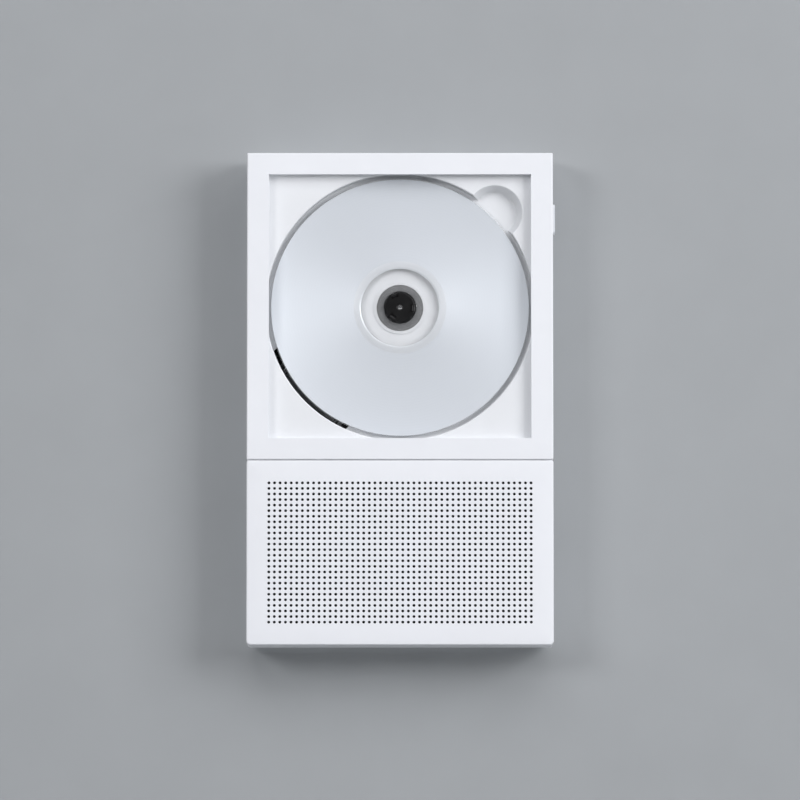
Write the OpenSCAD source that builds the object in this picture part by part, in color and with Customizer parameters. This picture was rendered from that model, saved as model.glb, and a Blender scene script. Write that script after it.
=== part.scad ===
// Wall mounted disc player with an open front, and a perforated speaker unit under it.
// Seen from the front, X runs to the right and Z up. Y runs towards the wall, whose plane is Y = 0.
// The disc turns about the Y axis. A depth is counted from the front face towards the wall.

/* [Housings] */
// Width of both units
body_w = 141.2; // [139:0.2:160]
// Height of the player
player_h = 142.2; // [139:0.2:160]
// Height of the speaker unit
speaker_h = 85; // [82:0.5:110]
// Front face to the wall
body_d = 28; // [27.5:0.5:36]
// Air between the two units
seam = 0.3; // [0.2:0.1:1]
// Thickness of the moulded walls
wall = 2; // [1.6:0.1:2.4]
// Depth of the front mouldings, where the side shells begin
frame_d = 4.1; // [3.6:0.1:4.6]
// Width of the square opening in the front frame
window_w = 121; // [120.4:0.2:122.6]
// Height of the square opening in the front frame
window_h = 122.4; // [120.4:0.2:123]
// Rounding of the front edges
edge_r = 0.6; // [0.3:0.1:1]
// Rounding of the rear edges of the side shells
rear_r = 1.6; // [0.5:0.1:1.9]
// Corner radius at the top of the player
top_r = 0.5; // [0.3:0.1:1.5]
// Corner radius where the units meet
meet_r = 1; // [0.3:0.1:1.5]
// Corner radius at the foot of the speaker unit
foot_r = 1.9; // [0.5:0.1:3]
// Depth of the inset plinth that stands on the wall
plinth_d = 3; // [2.4:0.1:4]
// Step from the side walls in to the plinth
plinth_in = 4; // [3:0.5:6]
// Lap of the plinth over the rear flange of a shell
flange_lap = 6; // [5:0.5:7]
// Play between housings that locate in each other
fit_gap = 0.2; // [0.1:0.05:0.3]

/* [Disc and tray] */
// Diameter of the disc
disc_d = 120; // [116:0.5:120]
// Thickness of the disc
disc_t = 1.2; // [1.1:0.05:1.4]
// Diameter of the centre hole of the disc
disc_hole = 15; // [14.5:0.1:15.5]
// Front face of the player to the top of the disc
disc_depth = 6.8; // [6.4:0.1:7.2]
// Radial air round the disc in its well
well_gap = 1.9; // [1.5:0.1:2.4]
// Air between the disc and the floor of the well
well_air = 1.6; // [1.4:0.1:2]
// Thickness of the tray
tray_t = 1.6; // [1.3:0.1:1.8]
// Radius of the finger notch at the tray face
notch_r = 12.5; // [11:0.5:14]
// Inward lean of the notch wall, from its rim to its floor
notch_lean = 2.5; // [1.5:0.5:4]
// Rounding of the rims of the well and the notch
rim_r = 0.6; // [0.3:0.1:1]
// Pickup slot: its reach to the side of the feed line that faces up
slot_up = 27.2; // [26:0.2:28]
// Pickup slot: its reach to the side of the feed line that faces down
slot_down = 22; // [21:0.2:23]
// Pickup slot: distance of its inner end from the spindle
slot_in = 19; // [17:0.5:20]

/* [Spindle] */
// Radius of the platform that the disc rests on
platform_r = 10.05; // [9.6:0.05:10.4]
// Height of the hub nose above the disc
nose_h = 1.4; // [1:0.1:1.6]
// Radial play of the disc on the hub nose
hub_play = 0.06; // [0.04:0.01:0.1]
// Radius of the spindle shaft
shaft_r = 1; // [0.8:0.1:1.5]
// Radius of the spindle motor
spindle_motor_r = 11.5; // [11:0.1:11.8]
// Length of the spindle motor's can
spindle_motor_l = 6.3; // [5.5:0.1:6.5]
// Radial play of shafts and pins in their bores
bearing_play = 0.04; // [0.02:0.01:0.08]

/* [Pickup and feed] */
// Direction of the feed line, turned from +X towards +Z
feed_angle = 225; // [223:0.5:227]
// Distance of the parked lens from the spindle
lens_in = 23; // [22.8:0.1:24]
// Travel of the pickup sled
feed_travel = 34.5; // [32:0.5:34.5]
// Depth of the chassis plate
chassis_depth = 15.4; // [15.3:0.1:15.8]
// Thickness of the chassis plate
chassis_t = 1.4; // [1:0.1:1.6]
// Radius of the guide rod that carries the sled
rod_r = 1.5; // [1.2:0.1:1.8]
// Radius of the second rod, which the fork runs on
side_rod_r = 1; // [0.8:0.1:1.2]
// Distance of the guide rod from the feed line
rod_off = 17.5; // [17:0.1:18]
// Distance of the second rod from the feed line
side_rod_off = 15.8; // [15.5:0.1:16.2]
// Module of the rack and its pinion
rack_m = 0.5; // [0.5:0.01:0.52]
// Teeth of the pinion that drives the rack
pinion_teeth = 14; // [14:1:15]
// Module of the wheel and the motor pinion
wheel_m = 0.4; // [0.38:0.01:0.42]
// Teeth of the large wheel
wheel_teeth = 42; // [38:1:44]
// Teeth of the motor pinion
motor_teeth = 14; // [14:1:16]
// Backlash of the teeth at the pitch line
backlash = 0.08; // [0.06:0.01:0.12]
// Radius of the feed motor
feed_motor_r = 9; // [8:0.1:9.4]

/* [Keys and sockets] */
// Length of the volume rocker
rocker_l = 14.2; // [12:0.2:16]
// Width of the volume rocker
rocker_w = 4; // [3.4:0.1:4.6]
// How far the rocker stands out of the side
rocker_out = 1.1; // [0.8:0.1:1.6]
// Distance of the rocker below the top of the player
rocker_down = 29.7; // [27:0.1:33]
// Length of a key in the top side
key_l = 9; // [7:0.5:10]
// Width of a key in the top side
key_w = 3.6; // [3:0.1:4.4]
// How far a key stands out of the top
key_out = 0.6; // [0.4:0.1:1]
// Spacing of the keys
key_pitch = 13; // [12.5:0.5:14]
// Travel of a key
key_travel = 0.5; // [0.3:0.1:0.6]
// Depth of the rocker and the keys
control_depth = 12.5; // [11.5:0.5:13.5]
// Radius of the bore that takes a 3.5 mm headphone plug
jack_r = 1.8; // [1.78:0.01:1.9]
// Spacing of the two keyholes
keyhole_pitch = 80; // [70:1:90]
// Radius of a keyhole's round end
keyhole_r = 4.6; // [4:0.1:5]

/* [Speaker] */
// Holes in a row of the grille
hole_columns = 24; // [20:1:24]
// Rows of holes in the grille
hole_rows = 13; // [10:1:13]
// Side of a unit to the field of holes
grille_margin = 9.04; // [8.9:0.02:11]
// Diameter of a hole
hole_d = 1.6; // [1:0.1:2]
// Thickness of the acoustic cloth
cloth_t = 0.4; // [0.2:0.1:0.6]
// Thickness of the baffle that carries the drivers
baffle_t = 2.5; // [2:0.1:3]
// Radius of a driver's flange
driver_r = 27.4; // [27:0.2:28]
// Distance of a driver from the middle of the unit
driver_x = 36; // [34:0.5:38]
// Outer radius of a cone
cone_r = 20.5; // [19:0.5:21]
// Travel of a cone, forwards and back
cone_travel = 1; // [0.5:0.1:1.2]

/* [Hidden] */
$fn = 48;

// Overshoot of a cut past the face that it opens
eps = 0.5;
// Housing levels, as depths
shell_end = body_d - plinth_d;
inner_w = body_w - 2 * wall;
inner_h = player_h - 2 * wall;
inner_r = 0.8;
rear_w = body_w - 2 * (plinth_in + flange_lap);
rear_h = player_h - 2 * (plinth_in + flange_lap);
pocket_d = 1;
plinth_floor = shell_end + pocket_d;
speaker_z = -(player_h + speaker_h) / 2 - seam;
speaker_inner_h = speaker_h - 2 * wall;
speaker_rear_h = speaker_h - 2 * (plinth_in + flange_lap);
// Self-tapping screws: shank, pilot hole, clearance hole, head and boss
screw_r = 0.95;
pilot_r = 1;
pass_r = 1.25;
head_r = 1.9;
head_h = 1.2;
boss_r = 2.4;
post_r = 3;
post_in = 8;
bite = 2.8;
// Tray levels, as depths
disc_r = disc_d / 2;
well_r = disc_r + well_gap;
disc_back = disc_depth + disc_t;
well_floor = disc_back + well_air;
floor_back = well_floor + tray_t;
tray_back = frame_d + tray_t;
notch_at = well_r * sqrt(0.5);
collar_r = 12.05;
collar_h = 0.5;
platform_t = 1.4;
hub_hole_r = platform_r + 0.75;
nose_r = disc_hole / 2 - hub_play;
nose_top = disc_depth - nose_h;
claw_w = 2.8;
// Mechanism levels, as depths, and places along and across the feed line
chassis_back = chassis_depth + chassis_t;
rod_depth = chassis_depth + chassis_t / 2;
run_gap = 0.4;
sled_face = floor_back + 1.4;
cover_face = floor_back + 0.3;
sled_back = chassis_back + 1.6;
sled_near = lens_in - 10.1;
sled_reach = 9.5;
sled_half = 13.5;
bearing_half = rod_r + 1.6;
opening_near = sled_near - run_gap;
opening_far = lens_in + sled_reach + feed_travel + run_gap;
rod_grip = 4;
rack_line = rod_off + bearing_half + 0.8 + 1.1 * rack_m;
rack_face = sled_face + 0.9;
rack_back = chassis_depth - run_gap;
pinion_r = rack_m * pinion_teeth / 2;
wheel_r = wheel_m * wheel_teeth / 2;
motor_pinion_r = wheel_m * motor_teeth / 2;
gear_x = 31;
gear_y = -(rack_line + pinion_r);
wheel_face = floor_back + 0.6;
wheel_t = 1.1;
train_angle = 240;
motor_at = [
    gear_x + (wheel_r + motor_pinion_r) * cos(train_angle),
    gear_y + (wheel_r + motor_pinion_r) * sin(train_angle)
];
damper_at = [[-15, -21.5], [-15, 20], [48, 27], [50, -31.5]];
damper_flange = 0.8;
damper_r = 3.6;
damper_neck = 2.6;
post_end = chassis_depth - damper_flange;
// Controls
top_z = player_h / 2;
side_x = body_w / 2;
rocker_z = top_z - rocker_down;
rocker_play = 0.35;
key_play = 0.2;
flange_t = 0.9;
key_xs = [side_x - 46.6, side_x - 46.6 + key_pitch, side_x - 46.6 + 2 * key_pitch];
control_y = control_depth - body_d;
rocker_flange_x = side_x - wall - 0.5;
rocker_pin_x = rocker_flange_x - 0.9;
rocker_pin_r = 0.7;
rocker_swing = 2.5;
rocker_pad_z = 5;
board_t = 1;
plunger_r = 1;
// Boards and sockets
main_t = 1.6;
main_depth = shell_end - 5.6;
main_x0 = -side_x + 4;
main_x1 = 36;
main_z0 = 19;
main_z1 = 57;
usb_z = 32;
jack_z = 46;
jack_half = 3;
jack_depth = main_depth - jack_half;
// Places of screws and posts
post_x = side_x - post_in;
post_z = top_z - post_in;
frame_screw_x = (window_w / 2 + wall + body_w / 2) / 2 - wall / 4;
speaker_post_z = speaker_h / 2 - post_in;
speaker_screw_x = side_x - wall - boss_r + 0.2;
speaker_screw_z = speaker_h / 2 - 14;
board_posts = [for (x = [main_x0 + 12, main_x1 - 6], z = [main_z0 + 5, main_z1 - 5]) [x, z]];
join_x = 22;
join_t = 1.2;
join_half = (wall + plinth_in) * 2;
join_at = [for (x = [-join_x, join_x], s = [-1, 1]) [x, -top_z - seam / 2 + s * (plinth_in + 4)]];
// Driver levels, as depths
cloth_lap = 1.2;
hole_pitch = (body_w - 2 * grille_margin) / hole_columns;
baffle_back = frame_d + baffle_t;
basket_t = 1;
roll_r = 1.9;
roll_t = 0.35;
surround_r = cone_r + 2 * roll_r;
neck_r = 7.15;
cone_t = 0.35;
cone_front = baffle_back + basket_t;
cone_h = 5.6;
coil_l = 5;
top_plate = cone_front + cone_h + 1.6;
plate_t = 1.6;
magnet_t = 3.4;
magnet_r = 17;
basket_screw_r = 0.7;

// Extrudes a shape drawn in X and Z, as seen from the front, between two depths.
module slab(d0, d1) {
    translate([0, d1 - body_d, 0]) rotate([90, 0, 0]) linear_extrude(d1 - d0) children();
}

// Turns a profile of radius and depth about a line through x and z that runs into the wall.
module turned(x = 0, z = 0) {
    translate([x, -body_d, z]) rotate([-90, 0, 0]) rotate_extrude() children();
}

// Extrudes a shape drawn in X and Y between two heights.
module along_z(z0, z1) {
    translate([0, 0, z0]) linear_extrude(z1 - z0) children();
}

// Extrudes a shape drawn in Z and Y between two places across the width.
module along_x(x0, x1) {
    translate([x1, 0, 0]) rotate([0, -90, 0]) linear_extrude(x1 - x0) children();
}

// Places what is drawn along (X) and across (Z) the feed line.
module on_feed_line() {
    rotate([0, 360 - feed_angle, 0]) children();
}

// A rod along the feed line, at a distance across it.
module feed_rod(r, x0, x1, z) {
    translate([x0, rod_depth - body_d, z]) rotate([0, 90, 0]) cylinder(r = r, h = x1 - x0);
}

// A rectangle about the origin with its top and its bottom corners rounded.
module panel(w, h, rt, rb) {
    translate([-w / 2, rb - h / 2]) square([w, h - rb - rt]);
    translate([rt - w / 2, h / 2 - rt]) square([w - 2 * rt, rt]);
    translate([rb - w / 2, -h / 2]) square([w - 2 * rb, rb]);
    for (sx = [-1, 1]) {
        translate([sx * (w / 2 - rt), h / 2 - rt]) circle(rt);
        translate([sx * (w / 2 - rb), rb - h / 2]) circle(rb);
    }
}

// A bar of length l and width w with round ends.
module stadium(l, w) {
    square([l - w, w], center = true);
    for (s = [-1, 1]) translate([s * (l - w) / 2, 0]) circle(w / 2);
}

// The section of a block from depth d0 to d1 whose front or rear corners are rounded.
module section(w, d0, d1, r, rear) {
    y0 = d0 - body_d;
    y1 = d1 - body_d;
    yr = rear ? y1 - r : y0 + r;
    translate([-w / 2, rear ? y0 : yr]) square([w, y1 - y0 - r]);
    translate([r - w / 2, rear ? yr : y0]) square([w - 2 * r, r]);
    for (s = [-1, 1]) translate([s * (w / 2 - r), yr]) circle(r);
}

// A block with a rounded outline whose front or rear edges are rounded too.
module soft_block(w, h, d0, d1, rt, rb, r, rear = false) {
    intersection() {
        slab(d0, d1) panel(w, h, rt, rb);
        along_z(-h / 2 - eps, h / 2 + eps) section(w, d0, d1, r, rear);
        along_x(-w / 2 - eps, w / 2 + eps) section(h, d0, d1, r, rear);
    }
}

// The points of an arc about [x, y], in n steps.
function arc(x, y, r, a0, a1, n = 6) =
    [for (i = [0:n]) let (a = a0 + (a1 - a0) * i / n) [x + r * cos(a), y + r * sin(a)]];

// One involute flank: points from the base circle out to the tip, at the given half angle.
function flank(base, tip, half, side) =
    [for (i = [0:3])
        let (
            most = sqrt(pow(tip / base, 2) - 1),
            t = most * i / 3,
            r = base * sqrt(1 + t * t),
            a = side * (half - (t * 180 / PI - atan(t)))
        )
        [r * cos(a), r * sin(a)]];

function spun(points, a) = [for (p = points) [p[0] * cos(a) - p[1] * sin(a), p[0] * sin(a) + p[1] * cos(a)]];

// A spur gear outline with stub teeth, one of them centred on +X.
module gear_outline(m, teeth) {
    pitch_r = m * teeth / 2;
    base = pitch_r * cos(20);
    tip = pitch_r + 0.8 * m;
    root = pitch_r - 1.1 * m;
    half = 90 / teeth + (tan(20) * 180 / PI - 20) - backlash / pitch_r * 90 / PI;
    foot = [[root * cos(half), root * sin(half)]];
    one = concat(
        [[foot[0][0], -foot[0][1]]],
        flank(base, tip, half, -1),
        [for (i = [3:-1:0]) flank(base, tip, half, 1)[i]],
        foot
    );
    polygon([for (k = [0:teeth - 1]) each spun(one, 360 * k / teeth)]);
}

// A rack outline: teeth point to -Y from the pitch line at y = 0, with a space centred on x = 0.
module rack_outline(m, x0, x1, back) {
    pitch = PI * m;
    half = pitch / 4 - backlash / 2;
    add = 0.8 * m;
    ded = 1.1 * m;
    first = ceil(x0 / pitch);
    last = floor(x1 / pitch) - 1;
    polygon(concat(
        [[x1, ded], [x1, back], [x0, back], [x0, ded]],
        [for (k = [first:last])
            let (c = (k + 0.5) * pitch)
            each [
                [c - half - ded * tan(20), ded], [c - half + add * tan(20), -add],
                [c + half - add * tan(20), -add], [c + half + ded * tan(20), ded]
            ]]
    ));
}

// A screw driven forwards: shank from depth d0 to d1, then its head.
module screw(x, z, d0, d1, r = screw_r) {
    translate([x, 0, z]) {
        slab(d0, d1) circle(r);
        difference() {
            slab(d1, d1 + head_h) circle(head_r);
            slab(d1 + head_h / 2, d1 + head_h + eps) square([2.2, 0.5], center = true);
            slab(d1 + head_h / 2, d1 + head_h + eps) square([0.5, 2.2], center = true);
        }
    }
}

module mirrored_x() {
    children();
    mirror([1, 0, 0]) children();
}

// Places something at the four corners of a rectangle about the origin.
module at_corners(x, z) {
    for (sx = [-1, 1], sz = [-1, 1]) translate([sx * x, 0, sz * z]) children();
}

module at_speaker() {
    translate([0, 0, speaker_z]) children();
}

module at_frame_screws() {
    at_corners(frame_screw_x, 45) children();
    at_corners(45, frame_screw_x + (window_h - window_w + player_h - body_w) / 4) children();
}

// FRONT OF THE PLAYER

module front_frame() {
    color("whitesmoke")
    difference() {
        union() {
            difference() {
                soft_block(body_w, player_h, 0, frame_d, top_r, meet_r, edge_r);
                difference() {
                    slab(wall, frame_d + eps) panel(inner_w, inner_h, inner_r, inner_r);
                    slab(0, frame_d + 2 * eps)
                        square([window_w + 2 * wall, window_h + 2 * wall], center = true);
                }
            }
            at_frame_screws() slab(wall / 2, frame_d) circle(boss_r);
        }
        slab(-eps, frame_d + eps) square([window_w, window_h], center = true);
        at_frame_screws() slab(frame_d - bite, frame_d + eps) circle(pilot_r);
    }
}

// The wall of the finger notch, from its rounded rim down to its floor.
module notch_cut() {
    lean = atan(notch_lean / (well_floor - frame_d));
    turned(notch_at, notch_at)
        polygon(concat(
            [[0, well_floor], [0, frame_d - eps], [notch_r + rim_r, frame_d - eps]],
            arc(notch_r + rim_r, frame_d + rim_r, rim_r, 270, 180 + lean),
            arc(notch_r - notch_lean - rim_r, well_floor - 2 * rim_r, 2 * rim_r, lean, 90)
        ));
}

// The well: a shallow dish with a rounded rim.
module well_cut() {
    turned()
        polygon(concat(
            [[0, well_floor], [0, frame_d - eps], [well_r + rim_r, frame_d - eps]],
            arc(well_r + rim_r, frame_d + rim_r, rim_r, 270, 180),
            arc(well_r - rim_r, well_floor - rim_r, rim_r, 0, 90)
        ));
}

module pickup_slot() {
    intersection() {
        circle(well_r - rim_r / 2);
        rotate(feed_angle)
            translate([slot_in, -slot_up])
            translate([well_r / 2, (slot_up + slot_down) / 2])
            panel(well_r, slot_up + slot_down, 3, 3);
    }
}

module disc_tray() {
    color("whitesmoke")
    difference() {
        union() {
            slab(frame_d, tray_back)
                panel(inner_w - 2 * fit_gap, inner_h - 2 * fit_gap, inner_r, inner_r);
            slab(frame_d, floor_back) circle(well_r + tray_t);
            translate([notch_at, 0, notch_at]) slab(frame_d, floor_back) circle(notch_r + tray_t);
            at_corners(post_x, post_z) slab(tray_back - eps, shell_end - wall) circle(post_r);
            on_feed_line()
                for (p = damper_at) translate([p[0], 0, p[1]])
                    slab(floor_back - eps, post_end) circle(post_r);
        }
        well_cut();
        notch_cut();
        difference() {
            slab(well_floor - eps, floor_back + eps) pickup_slot();
            slab(0, body_d) circle(slot_in);
        }
        slab(frame_d, floor_back + eps) circle(hub_hole_r);
        at_frame_screws() slab(frame_d - eps, tray_back + eps) circle(pass_r);
        at_corners(post_x, post_z) slab(shell_end - wall - 6, shell_end) circle(pilot_r);
        on_feed_line()
            for (p = damper_at) translate([p[0], 0, p[1]])
                slab(post_end - bite, post_end + eps) circle(pilot_r);
    }
    color("whitesmoke")
    slab(well_floor - collar_h, well_floor) difference() {
        circle(collar_r);
        circle(hub_hole_r);
    }
}

// HOUSING OF THE PLAYER

// The four walls and the rear flange of a unit.
module unit_shell(h, rt, rb, opening_h) {
    difference() {
        soft_block(body_w, h, frame_d, shell_end, rt, rb, rear_r, true);
        slab(frame_d - eps, shell_end - wall) panel(inner_w, h - 2 * wall, inner_r, inner_r);
        slab(shell_end - wall - eps, shell_end + eps) panel(rear_w, opening_h, 3, 3);
        at_corners(post_x, h / 2 - post_in) slab(shell_end - wall - eps, shell_end + eps) circle(pass_r);
    }
}

// The plinth of a unit, hollowed inside its seat on the flange.
module unit_back(h) {
    difference() {
        slab(shell_end, body_d) panel(body_w - 2 * plinth_in, h - 2 * plinth_in, 4, 4);
        slab(shell_end - eps, plinth_floor)
            panel(rear_w - 2 * wall, h - 2 * (plinth_in + flange_lap + wall), 3, 3);
        at_corners(post_x, h / 2 - post_in) {
            slab(shell_end - eps, body_d) circle(pass_r);
            slab(body_d - head_h - 0.4, body_d + eps) circle(head_r + 0.3);
        }
    }
}

// The recess for the plate that joins the units, and its pilot holes.
module join_cut() {
    translate([0, 0, -top_z - seam / 2])
        slab(body_d - join_t, body_d + eps)
        square([2 * join_x + 16 + 2 * fit_gap, 2 * join_half + 2 * fit_gap], center = true);
    for (p = join_at) translate([p[0], 0, p[1]]) slab(shell_end - wall - eps, body_d) circle(pilot_r);
}

// A rib on the inside of a side wall that holds the end of a switch board.
module board_rib(x0, x1, z0, z1) {
    translate([x0, control_y - 4.5, z0]) cube([x1 - x0, 9, z1 - z0]);
}

module player_shell() {
    rib = 1.4;
    ear_y = rocker_w / 2 + 1;
    color("whitesmoke")
    difference() {
        union() {
            unit_shell(player_h, top_r, meet_r, rear_h);
            for (s = [-1, 1]) {
                mid = rocker_z + s * (rocker_l / 2 + 4);
                board_rib(side_x - wall - 6.8, side_x - wall + eps, mid - rib / 2, mid + rib / 2);
                end = (key_xs[0] + key_xs[2]) / 2 + s * (key_pitch + key_l / 2 + 2.6);
                board_rib(end - rib / 2, end + rib / 2, top_z - wall - 6.4, top_z - wall + eps);
            }
            for (s = [-1, 1])
                translate([rocker_pin_x - 2, control_y + s * (ear_y + 0.7) - 0.7, rocker_z - 2])
                    cube([side_x - wall + eps - rocker_pin_x + 2, 1.4, 4]);
        }
        translate([0, 0, rocker_z]) along_x(side_x - wall - eps, side_x + eps)
            translate([0, control_y]) stadium(rocker_l + 2 * rocker_play, rocker_w + 2 * rocker_play);
        translate([rocker_pin_x, 0, rocker_z])
            slab(control_depth - ear_y - 1.1, control_depth + ear_y + 1.1)
            circle(rocker_pin_r + bearing_play);
        for (x = key_xs) translate([x, 0, 0]) along_z(top_z - wall - eps, top_z + eps)
            translate([0, control_y]) stadium(key_l + 2 * key_play, key_w + 2 * key_play);
        translate([0, 0, usb_z]) along_x(-side_x - eps, -side_x + wall + eps)
            translate([0, main_depth - body_d - 1.6]) stadium(9.4, 3.7);
        translate([0, 0, jack_z]) along_x(-side_x - eps, -side_x + wall + eps)
            translate([0, jack_depth - body_d]) square(2 * jack_half + 0.2, center = true);
        translate([0, 0, -top_z]) along_z(-eps, wall + eps)
            translate([0, main_depth - body_d]) square([14.4, 4.4], center = true);
        join_cut();
    }
}

module keyhole() {
    slab(shell_end, body_d + eps) {
        circle(keyhole_r);
        translate([-2.2, 0]) square([4.4, 8]);
        translate([0, 8]) circle(2.2);
    }
}

module player_back() {
    color("gainsboro")
    difference() {
        union() {
            unit_back(player_h);
            for (p = board_posts) translate([p[0], 0, p[1]])
                slab(main_depth + main_t, plinth_floor + eps) circle(boss_r);
        }
        for (p = board_posts) translate([p[0], 0, p[1]])
            slab(main_depth, main_depth + main_t + 3.6) circle(pilot_r);
        for (s = [-1, 1]) translate([s * keyhole_pitch / 2, 0, 41]) keyhole();
        join_cut();
    }
}

module frame_screws() {
    color("silver")
    at_frame_screws() screw(0, 0, frame_d - bite + 0.2, tray_back);
}

// The screws that hold a unit's plinth and shell to its posts.
module case_screws(z) {
    for (sx = [-1, 1], sz = [-1, 1])
        screw(sx * post_x, sz * z, shell_end - wall - 5, body_d - head_h - 0.4);
}

module player_screws() {
    color("silver") case_screws(post_z);
}

// DISC AND SPINDLE

module disc() {
    bevel = 0.2;
    color("lightsteelblue")
    turned()
        polygon([
            [disc_hole / 2, disc_depth + bevel], [disc_hole / 2 + bevel, disc_depth],
            [disc_r - bevel, disc_depth], [disc_r, disc_depth + bevel],
            [disc_r, disc_back - bevel], [disc_r - bevel, disc_back],
            [17.6, disc_back], [17.4, disc_back + 0.2], [16.8, disc_back + 0.2], [16.6, disc_back],
            [disc_hole / 2 + bevel, disc_back], [disc_hole / 2, disc_back - bevel]
        ]);
}

module claw_slots(r0, r1, d0, d1, w) {
    for (a = [115, 235, 355]) slab(d0, d1) rotate(a)
        translate([r0, -w / 2]) square([r1 - r0, w]);
}

module turntable() {
    taper = 0.7;
    color("dimgray")
    difference() {
        turned()
            polygon([
                [shaft_r, nose_top + 0.3], [shaft_r + 0.6, nose_top], [nose_r - taper - 0.3, nose_top],
                [nose_r - taper, nose_top + 0.2], [nose_r, disc_depth - 0.2], [nose_r, disc_back + 0.4],
                [platform_r, disc_back + 0.4], [platform_r, disc_back + platform_t],
                [4, disc_back + platform_t], [3, disc_back + platform_t + 1], [3, sled_face + 0.6],
                [shaft_r, sled_face + 0.6]
            ]);
        claw_slots(4.6, nose_r + 1, nose_top - eps, disc_back + 0.2, claw_w + 0.4);
    }
}

module turntable_pad() {
    color("black")
    slab(disc_back, disc_back + 0.4) difference() {
        circle(platform_r - 0.15);
        circle(nose_r + 0.3);
    }
}

// Sprung fingers with round noses that grip the edge of the disc's hole.
module hub_claws() {
    tip = 1.1;
    reach = sqrt(nose_r * nose_r - claw_w * claw_w / 4);
    color("black")
    for (a = [115, 235, 355]) rotate([0, -a, 0])
        translate([reach - tip, disc_depth - 0.5 - body_d, 0]) {
            cylinder(r = tip, h = claw_w, center = true);
            translate([-1.6, -0.4, -claw_w / 2]) cube([2, disc_back + 0.2 - disc_depth + 0.9, claw_w]);
        }
}

module motor_shaft() {
    color("silver")
    turned()
        polygon(concat(
            [[0, chassis_back + spindle_motor_l - 0.8], [0, nose_top - 0.2]],
            [[shaft_r * 0.6, nose_top - 0.1], [shaft_r, nose_top + 0.2]],
            [[shaft_r, chassis_back + spindle_motor_l - 0.8]]
        ));
}

module spindle_motor() {
    collar = 3.2;
    color("gray")
    turned()
        polygon([
            [shaft_r + bearing_play, chassis_depth - 0.6], [collar, chassis_depth - 0.6],
            [collar, chassis_back], [spindle_motor_r, chassis_back],
            [spindle_motor_r, chassis_back + spindle_motor_l - 0.5],
            [spindle_motor_r - 0.5, chassis_back + spindle_motor_l],
            [4, chassis_back + spindle_motor_l], [4, chassis_back + spindle_motor_l + 0.6],
            [0, chassis_back + spindle_motor_l + 0.6], [0, chassis_back + spindle_motor_l - 0.4],
            [shaft_r + bearing_play, chassis_back + spindle_motor_l - 0.4]
        ]);
}

// MECHANISM

module chassis_outline() {
    grip_half = rod_r + 1.2;
    translate([-20, -rod_off - 7]) square([opening_far + 21, rod_off + side_rod_off + 13.2]);
    translate([0, -rod_off - grip_half - 0.5])
        square([opening_far + rod_grip + 0.5, rod_off + side_rod_off + 2 * grip_half + 1]);
    for (p = damper_at) {
        translate(p) circle(damper_neck + 2.6);
        inward = min(max(p[1], -15), 15);
        translate([p[0] - damper_neck - 2.6, min(p[1], inward)])
            square([2 * damper_neck + 5.2, abs(p[1] - inward)]);
    }
    translate(motor_at) circle(feed_motor_r + 1.4);
    translate([motor_at[0] - feed_motor_r - 1.4, motor_at[1]])
        square([2 * feed_motor_r + 2.8 + gear_x - motor_at[0], -motor_at[1] - rod_off]);
}

module mechanism_chassis() {
    rim = 1.2;
    grip_half = rod_r + 1.2;
    color("#26282b")
    on_feed_line()
    difference() {
        union() {
            slab(chassis_depth, chassis_back) difference() {
                chassis_outline();
                translate([opening_near, -rod_off - bearing_half - run_gap])
                    square([opening_far - opening_near, rod_off + side_rod_off + bearing_half + 3 + run_gap]);
            }
            for (x = [opening_near - rod_grip, opening_far])
                for (z = [-rod_off, side_rod_off])
                    translate([x, rod_depth - grip_half - body_d, z - grip_half])
                        cube([rod_grip, 2 * grip_half, 2 * grip_half]);
            for (z = [-rod_off - 7, side_rod_off + 6.2 - rim])
                translate([opening_near, chassis_back - eps - body_d, z])
                    cube([opening_far - opening_near, 3 + eps, rim]);
            translate([gear_x, 0, gear_y]) slab(wheel_face + 0.1, chassis_depth + eps) circle(1);
        }
        slab(chassis_depth - eps, chassis_back + eps) circle(3.3);
        for (p = damper_at) translate([p[0], 0, p[1]])
            slab(chassis_depth - eps, chassis_back + eps) circle(damper_neck + 0.02);
        translate([motor_at[0], 0, motor_at[1]]) slab(chassis_depth - eps, chassis_back + eps) circle(2.6);
        feed_rod(rod_r + 0.02, opening_near - rod_grip + 1, opening_far + rod_grip - 1, -rod_off);
        feed_rod(side_rod_r + 0.02, opening_near - rod_grip + 1, opening_far + rod_grip - 1, side_rod_off);
    }
}

module damper_bushes() {
    color("#1a1a1a")
    on_feed_line()
    for (p = damper_at) translate([p[0], 0, p[1]]) turned()
        polygon([
            [pass_r, post_end], [damper_r, post_end], [damper_r, chassis_depth],
            [damper_neck, chassis_depth], [damper_neck, chassis_back], [damper_r, chassis_back],
            [damper_r, chassis_back + damper_flange], [pass_r, chassis_back + damper_flange]
        ]);
}

module damper_screws() {
    color("silver")
    on_feed_line()
    for (p = damper_at) {
        screw(p[0], p[1], post_end - bite + 0.2, chassis_back + damper_flange);
        translate([p[0], 0, p[1]])
            slab(chassis_back + damper_flange, chassis_back + damper_flange + 0.4) circle(head_r + 0.9);
    }
}

module guide_rods() {
    color("silver")
    on_feed_line() {
        feed_rod(rod_r, opening_near - rod_grip + 1, opening_far + rod_grip - 1, -rod_off);
        feed_rod(side_rod_r, opening_near - rod_grip + 1, opening_far + rod_grip - 1, side_rod_off);
    }
}

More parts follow.
